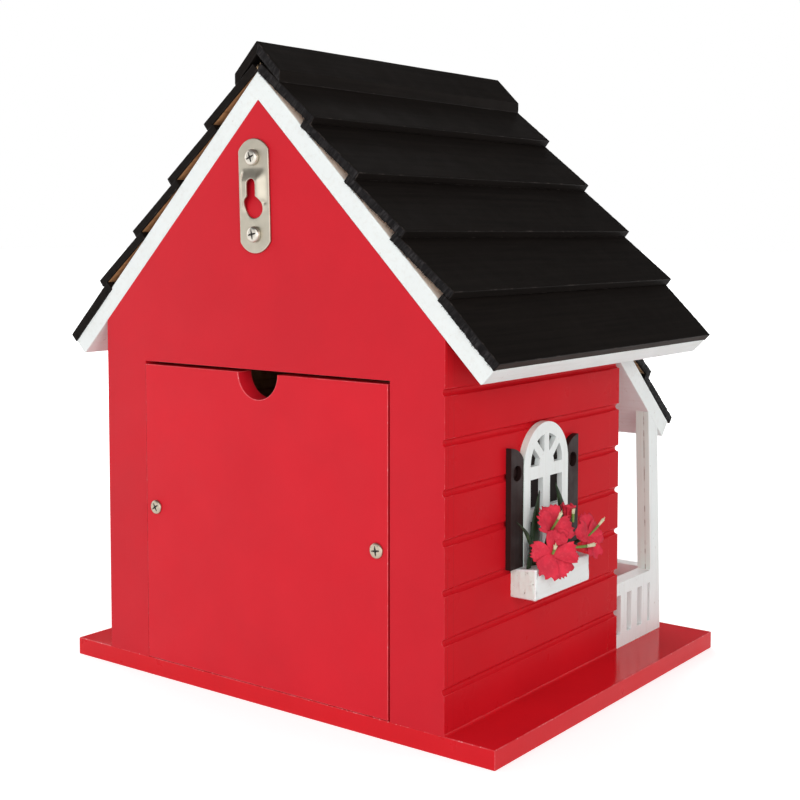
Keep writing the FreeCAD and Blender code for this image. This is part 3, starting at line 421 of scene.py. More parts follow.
def opened(mesh):
    """A bmesh to edit, with a mesh's contents."""
    work = bmesh.new()
    work.from_mesh(mesh)
    return work


def to_mesh(work):
    """Turns a bmesh into a mesh and frees it."""
    mesh = bpy.data.meshes.new("part")
    work.to_mesh(mesh)
    work.free()
    return mesh


def evaluated(holder):
    """An object's mesh after its modifiers; the object itself is removed."""
    graph = bpy.context.evaluated_depsgraph_get()
    mesh = bpy.data.meshes.new_from_object(holder.evaluated_get(graph))
    bpy.data.objects.remove(holder)
    return mesh


def applied(mesh, kind, **settings):
    """The mesh as one modifier leaves it."""
    holder = placed("holder", mesh)
    modifier = holder.modifiers.new(kind, kind)
    for name, value in settings.items():
        setattr(modifier, name, value)
    return evaluated(holder)


def cut(mesh, cutter_mesh):
    """The mesh with the cutter's volume taken out."""
    cutter = placed("cutter", cutter_mesh)
    result = applied(mesh, "BOOLEAN", operation="DIFFERENCE", solver="EXACT", object=cutter)
    bpy.data.objects.remove(cutter)
    return result


def sharp_edges(work, limit=50):
    """The edges between two faces that turn by more than a limit in degrees."""
    limit = radians(limit)
    return [edge for edge in work.edges if edge.is_manifold and edge.calc_face_angle() > limit]


def smooth_by_angle(work, limit):
    """Smooth shading, but for edges that turn by more than a limit in degrees."""
    for face in work.faces:
        face.smooth = True
    sharp = set(sharp_edges(work, limit))
    for edge in work.edges:
        edge.smooth = edge not in sharp


def face_outward(work):
    bmesh.ops.recalc_face_normals(work, faces=work.faces)


def rumple(x, y, z):
    """A smooth random height at a place."""
    return noise.noise(Vector((x, y, z)))


def circle(count):
    """Evenly spaced directions, as pairs of a cosine and a sine."""
    angles = [2 * pi * k / count for k in range(count)]
    return [(cos(angle), sin(angle)) for angle in angles]


def skin(work, rows, closed=False, capped=False, material=0):
    """Smooth faces between rows of places. Closed rows come round to their start, and capped
    ones get a face at either end. Returns the rows of vertices."""
    rows = [[work.verts.new(place) for place in row] for row in rows]
    count = len(rows[0])
    faces = []
    for low, high in zip(rows, rows[1:]):
        for k in range(count if closed else count - 1):
            after = (k + 1) % count
            faces.append(work.faces.new((low[k], low[after], high[after], high[k])))
    faces += [work.faces.new(end) for end in (rows[0][::-1], rows[-1]) if capped]
    for face in faces:
        face.smooth = True
        face.material_index = material
    return rows


def tube(work, path, radii, sides=8, material=0):
    """A round tapering tube along a list of points, closed at both ends."""
    rings = []
    for i, (point, radius) in enumerate(zip(path, radii)):
        ahead = path[min(i + 1, len(path) - 1)] - path[max(i - 1, 0)]
        turn = ahead.to_track_quat("Z", "Y")
        rings.append([point + turn @ Vector((x, y, 0)) * radius for x, y in circle(sides)])
    skin(work, rings, closed=True, capped=True, material=material)


def sliver(work, root, tip, width, material=0):
    """One torn fibre: a thin spike from root to tip."""
    along = (tip - root).normalized()
    side = along.orthogonal().normalized()
    other = along.cross(side)
    ring = [work.verts.new(root + (side * x + other * y) * width / 2) for x, y in circle(3)]
    end = work.verts.new(tip)
    for k in range(3):
        work.faces.new((ring[k], ring[(k + 1) % 3], end)).material_index = material


def mirror(work, side):
    """Turns what was built for the right side into the left side's mirror image."""
    if side < 0:
        for vert in work.verts:
            vert.co.x = -vert.co.x
        bmesh.ops.reverse_faces(work, faces=work.faces)


# --- painted boards


def on_plane(edge, axis, place, within=0.05 * MM):
    return all(abs(vert.co[axis] - place) < within for vert in edge.verts)


def easing(ease, *planes):
    """How far each edge is sanded round; planes are (axis, place, ease) where that differs."""
    def at(edge):
        for axis, place, other in planes:
            if on_plane(edge, axis, place):
                return other
        return ease
    return at


def is_flat(face):
    """Whether a face is part of a board's broad faces, not of an eased edge or a curve."""
    longest = max(edge.calc_length() for edge in face.edges)
    if face.calc_area() < longest * 0.6 * MM:
        return False
    turns = [edge.calc_face_angle() for edge in face.edges if edge.is_manifold]
    return not any(radians(0.5) < turn < radians(20) for turn in turns)


def shade_eased(mesh):
    """Shades broad faces flat, and lets eased edges run smoothly into them."""
    work = opened(mesh)
    flat = {face for face in work.faces if is_flat(face)}
    limit = cos(radians(50))
    normals = []
    for face in work.faces:
        for loop in face.loops:
            near = [f for f in loop.vert.link_faces if f.normal.dot(face.normal) > limit]
            broad = [f for f in near if f in flat]
            if face in flat:
                normal = face.normal
            elif broad:
                normal = max(broad, key=lambda f: f.normal.dot(face.normal)).normal
            else:
                total = sum((f.normal * f.calc_area() for f in near), Vector())
                normal = (total or face.normal).normalized()
            normals.append(normal.copy())
    work.free()
    mesh.normals_split_custom_set(normals)


def eased_board(node, materials, ease, pick=None, highlit_edges=False):
    """The CAD board with its sharp edges sanded round. pick(normal, centre) gives the number of
    each face's material. The rounded edges take the first one; on boards with a painted edge
    highlight, the last."""
    work = opened(frame["nodes"][node].data)
    bmesh.ops.remove_doubles(work, verts=work.verts, dist=0.002 * MM)
    angle = radians(1)
    bmesh.ops.dissolve_limit(work, angle_limit=angle, verts=work.verts, edges=work.edges)
    weights = work.edges.layers.float.new("bevel_weight_edge")
    for edge in sharp_edges(work, 25):
        edge[weights] = ease(edge) / MM
        edge.smooth = edge[weights] > 0
    for face in work.faces:
        face.smooth = True
        if pick:
            face.material_index = int(pick(face.normal, face.calc_center_median()))
    mesh = to_mesh(work)
    dress(mesh, materials)
    mesh = applied(
        mesh,
        "BEVEL",
        limit_method="WEIGHT",
        width=MM,
        segments=3,
        profile=0.5,
        use_clamp_overlap=True,
        material=len(materials) - 1 if highlit_edges else 0,
    )
    shade_eased(mesh)
    stand_in(node, "_board", mesh, materials)


# --- shingles

GRID_ALONG_SLOPE = 34
GRID_THROUGH = 4
TOP, UNDERSIDE, END, CORNER, BUTT = range(5)


def board_section(node, side, across):
    """The corners of a sloping board's section: its under face from the upper edge to the tip,
    then its top face the same way. side says which way it slopes down along the across axis."""
    verts = frame["nodes"][node].data.vertices
    points = {(round(v.co[across], 5), round(v.co.z, 5)) for v in verts}
    points = sorted(points, key=lambda point: side * point[0] - point[1])
    ends = [sorted(pair, key=lambda point: side * point[0] + point[1])
            for pair in (points[:2], points[-2:])]
    return [Vector(end[face]) for face in (0, 1) for end in ends]


def in_space(flat, across, run=0.0):
    """A place in a section that lies across one axis, at a run along the other one."""
    point = Vector((run, run, flat[1]))
    point[across] = flat[0]
    return point


def grid_box(counts, place, materials):
    """A box of small cells. place(i, j, k) gives each point, and materials names each side's
    material as (axis, 0 or 1)."""
    work = bmesh.new()
    verts = {}

    def corner(axis, end, a, b):
        index = [a, b]
        index.insert(axis, counts[axis] * end)
        index = tuple(index)
        if index not in verts:
            verts[index] = work.verts.new(place(*index))
        return verts[index]

    steps = ((0, 0), (1, 0), (1, 1), (0, 1))
    for axis in range(3):
        first, second = counts[:axis] + counts[axis + 1:]
        for end, a, b in product((0, 1), range(first), range(second)):
            face = work.faces.new([corner(axis, end, a + da, b + db) for da, db in steps])
            face.material_index = materials.get((axis, end), 0)
    face_outward(work)
    return work


def stations(low, high):
    """Places along a board, closer together near its two ends."""
    near = [0.0, 0.9 * MM, 2.0 * MM, 4.0 * MM]
    inner = high - low - 2 * near[-1]
    count = round(inner / (5 * MM))
    middle = [low + near[-1] + inner * i / count for i in range(1, count)]
    return [low + step for step in near] + middle + [high - step for step in reversed(near)]


def rough_board(node, side, across, materials, seed, torn=1.0, sag=0.25 * MM, overhang=0.5 * MM):
    """A sawn shingle with wavering faces and rounded edges that carry a painted highlight, whose
    ends are painted all round. torn is how far its ends are torn, and sag is how far their under
    edge hangs down.
    materials are its paint, its bare underside, its ends, its corners and its lower butt."""
    along = 1 - across
    under_top, under_tip, over_top, over_tip = board_section(node, side, across)
    low, high = (corner[along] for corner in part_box(node))
    low, high = low - overhang, high + overhang
    steps = stations(low, high)
    down = (under_tip - under_top).normalized()
    out = Vector((side * -down[1], side * down[0]))
    seat = Vector((seed * 7.3, seed * 3.1, 0))

    def place(i, j, k):
        u, v = i / GRID_ALONG_SLOPE, j / GRID_THROUGH
        flat = under_top.lerp(under_tip, u).lerp(over_top.lerp(over_tip, u), v)
        return in_space(flat, across, steps[k])

    counts = (GRID_ALONG_SLOPE, GRID_THROUGH, len(steps) - 1)
    work = grid_box(counts, place, {(0, 1): BUTT, (1, 0): UNDERSIDE, (2, 0): END, (2, 1): END})
    bevel = {"offset": 0.32 * MM, "segments": 2, "profile": 0.6, "material": CORNER}
    bmesh.ops.bevel(work, geom=sharp_edges(work), affect="EDGES", **bevel)
    for face in work.faces:
        middle = face.calc_center_median()[along]
        if face.material_index == UNDERSIDE and min(middle - low, high - middle) < MM:
            face.material_index = END
    rise = in_space(out, across)
    for vert in work.verts:
        flat = Vector((vert.co[across], vert.co.z)) - under_top
        run, lift = flat.dot(down), flat.dot(out)
        vert.co += rise * noise.noise(vert.co * 45 + seat) * 0.10 * MM
        if min(vert.co[along] - low, high - vert.co[along]) < 1.2 * MM:
            outward = 1 if vert.co[along] > (low + high) / 2 else -1
            x, y, z = Vector((run / MM, lift / MM, outward * 9)) + seat
            tear = rumple(x * 1.1, y * 0.3, z) * 0.38 + rumple(x * 3.1, y * 1.2, z) * 0.18
            vert.co[along] += outward * torn * tear * MM
            if lift < 0.6 * MM:
                vert.co -= rise * (sag + 0.5 * torn * rumple(x * 2.2, 0, z) * MM)
    smooth_by_angle(work, 30)
    add_fibres(work, node, (low, high), (under_top, under_tip, out), across, torn)
    stand_in(node, "_board", to_mesh(work), materials)


def add_fibres(work, node, ends, section, across, torn):
    """The fibres that hang from the lower edge of a shingle's torn ends."""
    dice = random.Random(node)
    under_top, under_tip, out = section
    count = int((under_tip - under_top).length / MM * 2.6 * torn)
    for end, outward in zip(ends, (-1, 1)):
        for _ in range(count):
            foot = under_top.lerp(under_tip, dice.uniform(0.01, 0.995))
            drop = dice.choice((0.25, 0.35, 0.5, 0.6, 0.95)) * dice.uniform(0.7, 1.2) * MM
            lean = dice.uniform(-0.25, 0.25) * MM
            fall = -out * drop + Vector((-out[1], out[0])) * lean
            rise = out * dice.uniform(0.3, 1.0) * MM
            root = in_space(foot + rise, across, end - outward * 0.2 * MM)
            proud = outward * dice.uniform(-0.15, 0.25) * MM
            tip = in_space(foot + fall, across, end + proud)
            sliver(work, root, tip, dice.uniform(0.3, 0.6) * MM, END)


# --- screws and hanger

# The outline of a screw's head, as shares of its radius and its height.
HEAD_PROFILE = (
    (0.93, 0.0), (1.0, 0.10), (1.0, 0.38), (0.975, 0.60), (0.91, 0.80), (0.80, 0.93),
    (0.62, 0.985), (0.40, 1.0), (0.15, 1.0),
)
# The outline of the cross's arm, as shares of its reach and of half its width.
ARM_OUTLINE = (
    (1, 0.5), (0.3, 1), (-0.3, 1), (-1, 0.5), (-1, -0.5), (-0.3, -1), (0.3, -1), (1, -0.5)
)
SHANK_RADIUS = 1.5 * MM
PITCH = 1.1 * MM


def middle_at(node, y):
    """The middle of a node's box, but at that Y."""
    low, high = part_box(node)
    return Vector(((low.x + high.x) / 2, y, (low.z + high.z) / 2))


def recess_cutter(centre, top, depth, reach, angle):
    """One arm of a Phillips cross: a wedge that narrows towards its foot."""
    work = bmesh.new()
    arm = Vector((cos(angle), 0, sin(angle)))
    wide = Vector((-sin(angle), 0, cos(angle)))
    rings = []
    for y, length, width in ((top + 0.3 * MM, reach * 1.1, 0.5), (top - depth, reach * 0.35, 0.16)):
        level = Vector((0, y, 0))
        offsets = [arm * a * length + wide * b * width * MM + level for a, b in ARM_OUTLINE]
        rings.append([centre + offset for offset in offsets])
    skin(work, rings, closed=True, capped=True)
    face_outward(work)
    return to_mesh(work)


def screw_head(centre, radius, height, turn, seed):
    """A pan head with a worn cross recess; centre is the middle of the face it bears on."""
    work = bmesh.new()
    rings = [[centre + Vector((r * radius * x, h * height, r * radius * z)) for x, z in circle(48)]
             for r, h in HEAD_PROFILE]
    skin(work, rings, closed=True, capped=True)
    face_outward(work)
    head = to_mesh(work)
    depth = min(1.0 * MM, height * 0.8)
    for quarter in (0, 90):
        arm = radians(turn + quarter)
        head = cut(head, recess_cutter(centre, height, depth, radius * 0.70, arm))
    work = opened(head)
    # Faces inside the cross recess take material 1, the darker skin.
    for face in work.faces:
        middle = face.calc_center_median() - centre
        reach = hypot(middle.x, middle.z)
        inside = reach < radius * 0.76 and height * 0.15 < middle.y < height * 0.9
        face.material_index = 1 if inside else 0
    for vert in work.verts:
        wear = noise.noise(vert.co * 900 + Vector((seed, 0, 0)))
        if (vert.co - centre).y > height * 0.5:
            vert.co.y += wear * 0.05 * MM
    smooth_by_angle(work, 28)
    return work


def add_thread(work, centre, length):
    """The threaded shank, from the head's seat towards -Y, with a point at its end."""
    thread = bmesh.new()
    sides, rows = 20, int(length / (PITCH / 6))
    rings = []
    for row in range(rows + 1):
        depth = length * row / rows
        taper = min(1, (length - depth) / (2.4 * SHANK_RADIUS))
        ring = []
        for k, (x, z) in enumerate(circle(sides)):
            phase = (depth / PITCH - k / sides) % 1
            ridge = max(0.0, 1 - abs(phase - 0.5) * 5)
            reach = SHANK_RADIUS * taper * (0.72 + 0.28 * ridge) + 0.02 * MM
            ring.append(centre + Vector((reach * x, -depth, reach * z)))
        rings.append(ring)
    thread.faces.new(skin(thread, rings, closed=True)[-1])
    bmesh.ops.reverse_faces(thread, faces=thread.faces)
    work.from_mesh(to_mesh(thread))


def door_screw(node, turn, materials):
    low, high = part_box(node)
    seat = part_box("clean_out_door")[1].y
    centre = middle_at(node, seat)
    work = screw_head(centre, (high.x - low.x) / 2, high.y - seat, turn, low.x * 50)
    add_thread(work, centre, seat - low.y)
    stand_in(node, "_turned", to_mesh(work), materials)


PLATE_HALF_WIDTH = 8.0 * MM
PLATE_END_RADIUS = 9.2 * MM
PLATE_HALF_LENGTH = 22.6 * MM
PLATE_THICKNESS = 1.0 * MM
PLATE_ROLLED_EDGE = 0.28 * MM
PLATE_LEAN = radians(1.5)
SCREW_SPREAD = 15.1 * MM
SCREW_HOLE_RADIUS = 1.7 * MM
KEYHOLE_RADIUS, KEYHOLE_DROP = 4.6 * MM, 4.2 * MM
SLOT_RADIUS, SLOT_RISE = 2.3 * MM, 4.5 * MM


def arc(v, radius, start, end, count):
    """Points on an arc round (0, v), from one angle to the other in degrees."""
    angles = [radians(start + (end - start) * i / count) for i in range(count + 1)]
    return [(radius * cos(angle), v + radius * sin(angle)) for angle in angles]


def plate_outlines():
    """The plate's rim, its keyhole and its two screw holes, as rings of points."""
    reach = PLATE_HALF_LENGTH - PLATE_END_RADIUS
    end = degrees(acos(PLATE_HALF_WIDTH / PLATE_END_RADIUS))
    rim = arc(reach, PLATE_END_RADIUS, end, 180 - end, 26)
    rim += arc(-reach, PLATE_END_RADIUS, 180 + end, 360 - end, 26)
    neck = degrees(asin(SLOT_RADIUS / KEYHOLE_RADIUS))
    keyhole = arc(SLOT_RISE, SLOT_RADIUS, 0, 180, 14)
    keyhole += arc(-KEYHOLE_DROP, KEYHOLE_RADIUS, 90 + neck, 450 - neck, 30)
    holes = [arc(sign * SCREW_SPREAD, SCREW_HOLE_RADIUS, 0, 345, 23) for sign in (-1, 1)]
    return [rim, keyhole] + holes


def ease_in(reach, width):
    """0 below a reach of 0, 1 above the width in millimetres, and a smooth rise between."""
    share = max(0.0, min(1.0, reach / (width * MM)))
    return share * share * (3 - 2 * share)


def pressed_height(u, v, lift):
    """How far the sheet is pressed outward at a place on the plate, with a small dent that the
    press left beside the round hole."""
    sides = ease_in(7.0 * MM - u, 2.2) * ease_in(u + 7.8 * MM, 5.4)
    ends = ease_in(v + 6.6 * MM, 6.4) * ease_in(11.2 * MM - v, 5.6)
    dent = exp(-(((u + 5.5 * MM) / (0.9 * MM)) ** 2 + ((v + 2.6 * MM) / (0.8 * MM)) ** 2))
    return lift * sides * ends - 0.55 * MM * dent


def make_hanger(materials):
    """The keyhole plate: a filled outline with rolled edges, pressed into its raised middle."""
    low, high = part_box("hanger_plate")
    centre = middle_at("hanger_plate", low.y)
    lift = high.y - low.y - PLATE_THICKNESS
    curve = bpy.data.curves.new("plate", "CURVE")
    curve.dimensions = "2D"
    curve.fill_mode = "BOTH"
    curve.extrude = PLATE_THICKNESS / 2 - PLATE_ROLLED_EDGE
    curve.bevel_depth = PLATE_ROLLED_EDGE
    curve.bevel_resolution = 2
    curve.offset = -PLATE_ROLLED_EDGE
    for ring in plate_outlines():
        spline = curve.splines.new("POLY")
        spline.points.add(len(ring) - 1)
        for point, (u, v) in zip(spline.points, ring):
            point.co = (u, v, 0, 1)
        spline.use_cyclic_u = True
    work = opened(evaluated(placed("plate", curve)))
    bmesh.ops.remove_doubles(work, verts=work.verts, dist=0.005 * MM)
    for axis, first, last, step in ((0, -7.6, 7.6, 0.4), (1, -8.0, 12.0, 0.4)):
        for i in range(int((last - first) / step) + 1):
            point, normal = Vector((0, 0, 0)), Vector((0, 0, 0))
            point[axis], normal[axis] = (first + i * step) * MM, 1
            geometry = work.verts[:] + work.edges[:] + work.faces[:]
            bmesh.ops.bisect_plane(work, geom=geometry, plane_co=point, plane_no=normal)
    turn = Matrix.Rotation(PLATE_LEAN, 3, "Y")
    for vert in work.verts:
        u, v, depth = vert.co
        raised = depth + PLATE_THICKNESS / 2 + pressed_height(-u, v, lift)
        vert.co = centre + turn @ Vector((-u, raised, v))
    face_outward(work)
    smooth_by_angle(work, 40)
    stand_in("hanger_plate", "_pressed", to_mesh(work), materials)


def make_hanger_screws(materials):
    """Both screws of the hanger in one piece, each turned as it happened to end up."""
    low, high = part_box("hanger_screws")
    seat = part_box("hanger_plate")[0].y + PLATE_THICKNESS
    both = bmesh.new()
    lean = Vector((sin(PLATE_LEAN), 0, cos(PLATE_LEAN)))
    for end, turn in ((1, 68), (-1, 79)):
        centre = middle_at("hanger_plate", seat) + lean * end * SCREW_SPREAD
        work = screw_head(centre, 3.2 * MM, high.y - seat, turn, end)
        add_thread(work, centre, seat - low.y)
        both.from_mesh(to_mesh(work))
    stand_in("hanger_screws", "_turned", to_mesh(both), materials)


# --- flowers

# In these tables places are in millimetres: out from the wall, towards the rear from the
# window's middle, and up from the flower box's top.

# Each bloom: its heart, its axis, its cup, and its petals as an angle in degrees from straight
# up, a length and a width.
BLOOMS = (
    ((13.0, 12.4, 5.4), (0.86, 0.62, 0.30), 0.16,
     ((15, 9.6, 9.0), (88, 10.2, 8.2), (150, 9.6, 8.4), (214, 9.8, 10.4), (283, 10.0, 8.0))),
    ((9.5, 8.6, 13.8), (0.86, 0.34, 0.38), 0.40,
     ((350, 9.6, 10.5), (300, 8.6, 9.0), (92, 9.4, 9.0), (150, 7.0, 8.0))),
    ((12.0, -16.6, 7.4), (0.80, 0.14, 0.30), 0.24,
     ((355, 8.8, 9.0), (288, 9.4, 8.6), (235, 8.0, 7.0), (190, 9.4, 8.6), (125, 7.2, 7.6),
      (60, 7.0, 7.6))),
    ((10.8, -2.4, 13.8), (0.10, 0.05, 1.00), 4.1,
     ((20, 2.4, 5.6), (110, 2.4, 5.0), (200, 2.2, 5.4), (290, 2.4, 5.2))),
)
# Each stamen: its root, its tip and its thickness.
STAMENS = (
    ((13.0, 12.4, 5.4), (14.4, 12.4, 9.2), 0.6),
    ((10.0, 8.6, 13.8), (14.4, 8.2, 21.2), 0.5),
    ((12.4, -16.6, 7.4), (16.6, -21.6, 14.0), 0.48),
    ((13.0, -0.4, 6.0), (17.0, -13.4, 5.2), 0.6),
    ((13.4, -2.6, 15.6), (13.6, -2.4, 21.0), 0.6),
)
# Each leaf: its root, its tip, half its width, how far its middle is bent aside, and its twist.
LEAVES = (
    ((5.4, 12.0, -3), (6.0, 11.0, 29.5), 3.8, (0.3, 0.6, 0), 0.1),
    ((6.0, -9.0, 3), (7.0, 0.6, 31.0), 3.8, (1.0, -2.6, 0), 0.0),
    ((7.0, 16.5, 6), (8.0, 30.3, 20.5), 1.3, (0.6, -0.8, 1.0), 0.5),
    ((6.5, 19.5, -2), (8.0, 18.6, 13.0), 1.9, (0.8, 0.4, 0), 0.2),
    ((6.0, -12.0, -3), (7.5, -8.6, 21.0), 1.7, (1.0, 0, 1.0), -0.4),
)
PETALS, STEM_GREEN, STAMEN_CREAM, CALYX_GREEN = range(4)


def window_origin(name):
    """The place on the right-hand wall that the tables count from."""
    low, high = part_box(f"window_frame_{name}")
    return Vector((WALL, (low.y + high.y) / 2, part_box(f"flower_box_{name}")[1].z))


def petal(work, heart, axis, direction, length, width, cup, dice):
    """One serrated petal that leaves the bloom's heart and curls outward."""
    rows, columns = 9, 14
    side = axis.cross(direction).normalized()
    phase = dice.uniform(0, 6.28)
    torn = min(0.12 * length, MM)
    teeth = [dice.uniform(-1.1, 0.9) * torn for _ in range(columns + 1)]
    grid = []
    for i in range(rows + 1):
        r = i / rows
        spread = width * (0.16 + 0.84 * sin(min(1.0, r * 1.12) * pi / 2) ** 0.9)
        line = []
        for j in range(columns + 1):
            t = 2 * j / columns - 1
            reach = (length * (1 - 0.20 * t * t) + (teeth[j] if i == rows else 0)) * r
            height = cup * sin(r * pi * 0.62) * length
            height += 0.07 * length * r * r * sin(3.4 * t + phase) + 0.10 * length * r * t * t
            point = heart + direction * reach + side * spread * t * 0.5 + axis * height
            point += axis * noise.noise(point * 260) * 0.5 * MM * r
            line.append(point)
        grid.append(line)
    skin(work, grid, material=PETALS)


def bloom(work, heart, axis, cup, petals, dice):
    """Petals round the axis, every other one set a little further out."""
    upward = Vector((0, 0, 1))
    upward = (upward - axis * axis.z).normalized()
    for k, (angle, length, width) in enumerate(petals):
        direction = (Matrix.Rotation(radians(angle), 3, axis) @ upward).normalized()
        start = heart + axis * (0.5 * MM * (k % 2))
        own_cup = cup * dice.uniform(0.7, 1.2)
        petal(work, start, axis, direction, length * MM, width * MM, own_cup, dice)


def stamen(work, root, tip, thick):
    """A pistil: a green foot that turns cream towards a blunt, slightly forked tip."""
    middle = (root + tip) / 2 - Vector((0, 0, 0.8 * MM))
    path, radii = [], []
    for i in range(11):
        s = i / 10
        path.append(root * (1 - s) ** 2 + middle * 2 * s * (1 - s) + tip * s * s)
        radii.append(thick * (0.75 + 0.6 * s ** 3))
    tube(work, path[:8], radii[:8], material=STEM_GREEN)
    tube(work, path[7:], radii[7:], material=STAMEN_CREAM)
    along = (tip - path[-3]).normalized()
    fork = along.orthogonal().normalized()
    for sign in (-1, 1):
        end = tip + (along * 1.1 + fork * sign * 0.7) * MM
        sliver(work, tip - along * 0.3 * MM, end, thick * 1.1, STAMEN_CREAM)


def make_flowers(name, side, materials):
    """Three open blooms and a half-closed one, with their stems down into the box."""
    dice = random.Random(11)
    work = bmesh.new()
    origin = window_origin(name)
    for place, axis, cup, petals in BLOOMS:
        heart, axis = origin + Vector(place) * MM, Vector(axis).normalized()
        bloom(work, heart, axis, cup, petals, dice)
        foot = origin + Vector((5.6, place[1] * 0.6, -3)) * MM
        knee = origin + Vector((6.5, place[1] * 0.75, place[2] / 2)) * MM
        path = [foot.lerp(knee, s / 4) for s in range(4)] + [knee.lerp(heart, s / 4) for s in range(5)]
        tube(work, path, [0.7 * MM] * len(path), material=CALYX_GREEN)
        calyx = [heart + axis * step * MM for step in (-2.6, -1.2, 0.2)]
        tube(work, calyx, [0.6 * MM, 1.3 * MM, 0.9 * MM], material=CALYX_GREEN)
    for root, tip, thick in STAMENS:
        stamen(work, origin + Vector(root) * MM, origin + Vector(tip) * MM, thick * MM)
    mirror(work, side)
    mesh = applied(to_mesh(work), "SOLIDIFY", thickness=0.14 * MM, offset=0)
    stand_in(f"flowers_{name}", "_silk", mesh, materials)


def blade(work, root, tip, half_width, bend, twist):
    """One leaf: folded a little along its midrib, widest near a third of its length."""
    rows = 14
    lines = []
    along = (tip - root).normalized()
    flat = Vector((0, 1, 0)) if abs(along.y) < 0.7 else Vector((0, 0, 1))
    for i in range(rows + 1):
        s = i / rows
        point = root.lerp(tip, s) + bend * sin(s * pi)
        swell = 0.35 + 0.65 * sin(min(1, s * 1.5 + 0.2) * pi / 2)
        wide = max(half_width * swell * (1 - s ** 2.4), 0.03 * MM)
        across = (Matrix.Rotation(twist * s, 3, along) @ flat).normalized()
        fold = along.cross(across).normalized()
        line = []
        for t in (-1, -0.5, 0, 0.5, 1):
            lift = wide * 0.35 * abs(t) + rumple(s * 3, t, half_width * 900) * 0.35 * MM
            line.append(point + across * wide * t + fold * lift)
        lines.append(line)
    skin(work, lines)


def make_leaves(name, side, material):
    work = bmesh.new()
    origin = window_origin(name)
    for root, tip, half_width, bend, twist in LEAVES:
        root, tip = origin + Vector(root) * MM, origin + Vector(tip) * MM
        blade(work, root, tip, half_width * MM, Vector(bend) * MM, twist)
    mirror(work, side)
    mesh = applied(to_mesh(work), "SOLIDIFY", thickness=0.25 * MM, offset=0)
    stand_in(f"leaves_{name}", "_silk", mesh, [material])


def make_flower_box(name, side, materials):
    """A solid block of wood with open end grain, whose top slopes down towards the porch."""
    node = f"flower_box_{name}"
    low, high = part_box(node)
    deep = max(abs(low.x), abs(high.x)) - WALL
    cells = (12, 14, 52)
    window_proud = 3.2 * MM

    def place(i, j, k):
        y = low.y + (high.y - low.y) * k / cells[2]
        z = low.z + (high.z - low.z) * j / cells[1]
        return Vector((WALL + deep * i / cells[0], y, z))

    work = grid_box(cells, place, {(2, 0): 1, (2, 1): 1})
    corners = [edge for edge in sharp_edges(work) if not on_plane(edge, 0, WALL)]
    bevel = {"offset": 0.7 * MM, "segments": 3, "profile": 0.5}
    bmesh.ops.bevel(work, geom=corners, affect="EDGES", **bevel)
    for vert in work.verts:
        x, y, z = vert.co
        up = (z - low.z) / (high.z - low.z)
        out = max(0.0, (x - WALL - window_proud) / (deep - window_proud))
        slope = 2 * (y - low.y) / (high.y - low.y) - 1
        vert.co.z += 0.95 * MM * slope * up * out
        from_end = min(y - low.y, high.y - y)
        rough = 0.45 if from_end < 1.0 * MM else 0.12
        if x > WALL + MM:
            vert.co.x += rumple(x * 420, y * 420, z * 420) * rough * 0.4 * MM
        if from_end < 0.8 * MM:
            grain = rumple(x * 900, 3, z * 380) + 0.6 * noise.noise(vert.co * 1300)
            outward = 1 if y > (low.y + high.y) / 2 else -1
            vert.co.y += outward * (grain * 0.32 - 0.12) * MM
    smooth_by_angle(work, 40)
    mirror(work, side)
    stand_in(node, "_block", to_mesh(work), materials)


# --- small marks

# How far the shutters' round holes lie above their foot.
HOLE_HEIGHT = 37.1 * MM


def make_paint_fillets(material):
    """The bead of paint that gathered where the side walls stand on the base."""
    work = bmesh.new()
    count, sunk = 66, 0.1 * MM
    for side in (-1, 1):
        lines = []
        for i in range(count + 1):
            y = REAR + (FRONT - REAR) * i / count
            size = (0.75 + 0.35 * rumple(y * 120, side, 0)) * MM
            line = [(WALL - sunk, DECK - sunk)]
            for step in range(6):
                angle = pi / 2 * step / 5
                away, up = size * (1 - sin(angle)), size * (1 - cos(angle))
                line.append((WALL + away, DECK + up))
            lines.append([(side * x, y, z) for x, z in line])
        skin(work, lines, closed=True, capped=True)
    face_outward(work)
    smooth_by_angle(work, 50)
    add_piece("paint_fillets", to_mesh(work), [material], "base")


def make_apex_splinters(material):
    """Torn slivers of bare wood between the ridge caps and the roof boards."""
    dice = random.Random(4)
    work = bmesh.new()
    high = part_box("roof_board_left")[1]
    for _ in range(12):
        aside, up = dice.uniform(-1.4, 1.4), dice.uniform(-0.6, 0.8)
        root = Vector((aside * MM, high.y - 0.6 * MM, high.z + up * MM))
        reach = (dice.uniform(-2.6, 2.6), dice.uniform(0.0, 0.6), dice.uniform(0.4, 3.6))
        sliver(work, root, root + Vector(reach) * MM, dice.uniform(0.4, 0.7) * MM)
    add_piece("apex_splinters", to_mesh(work), [material], "roof_board_left")


def make_hole_shade_discs(material):
    """Black discs on the wall behind the shutters' round holes: painted shade in the holes."""
    work = bmesh.new()
    for (name, side), place in product(SIDES, ("rear", "front")):
        low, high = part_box(f"shutter_{name}_{place}")
        wall = side * min(abs(low.x), abs(high.x))
        middle = Vector((wall, (low.y + high.y) / 2, low.z + HOLE_HEIGHT))
        path = [middle + Vector((side * step, 0, 0)) * MM for step in (0.02, 0.3, 0.5)]
        tube(work, path, [2.95 * MM, 2.95 * MM, 2.0 * MM], sides=24)
    add_piece("shutter_hole_painted_shade", to_mesh(work), [material], "side_wall_left")


# --- the birdhouse, piece by piece

# How round the edges of flush joints are, where paint has filled them.
FLUSH = 0.05 * MM
# The scales of noise for brush strokes that run along one axis.
ALONG_X, ALONG_Y, ALONG_Z = (40, 600, 600), (600, 40, 600), (600, 600, 30)

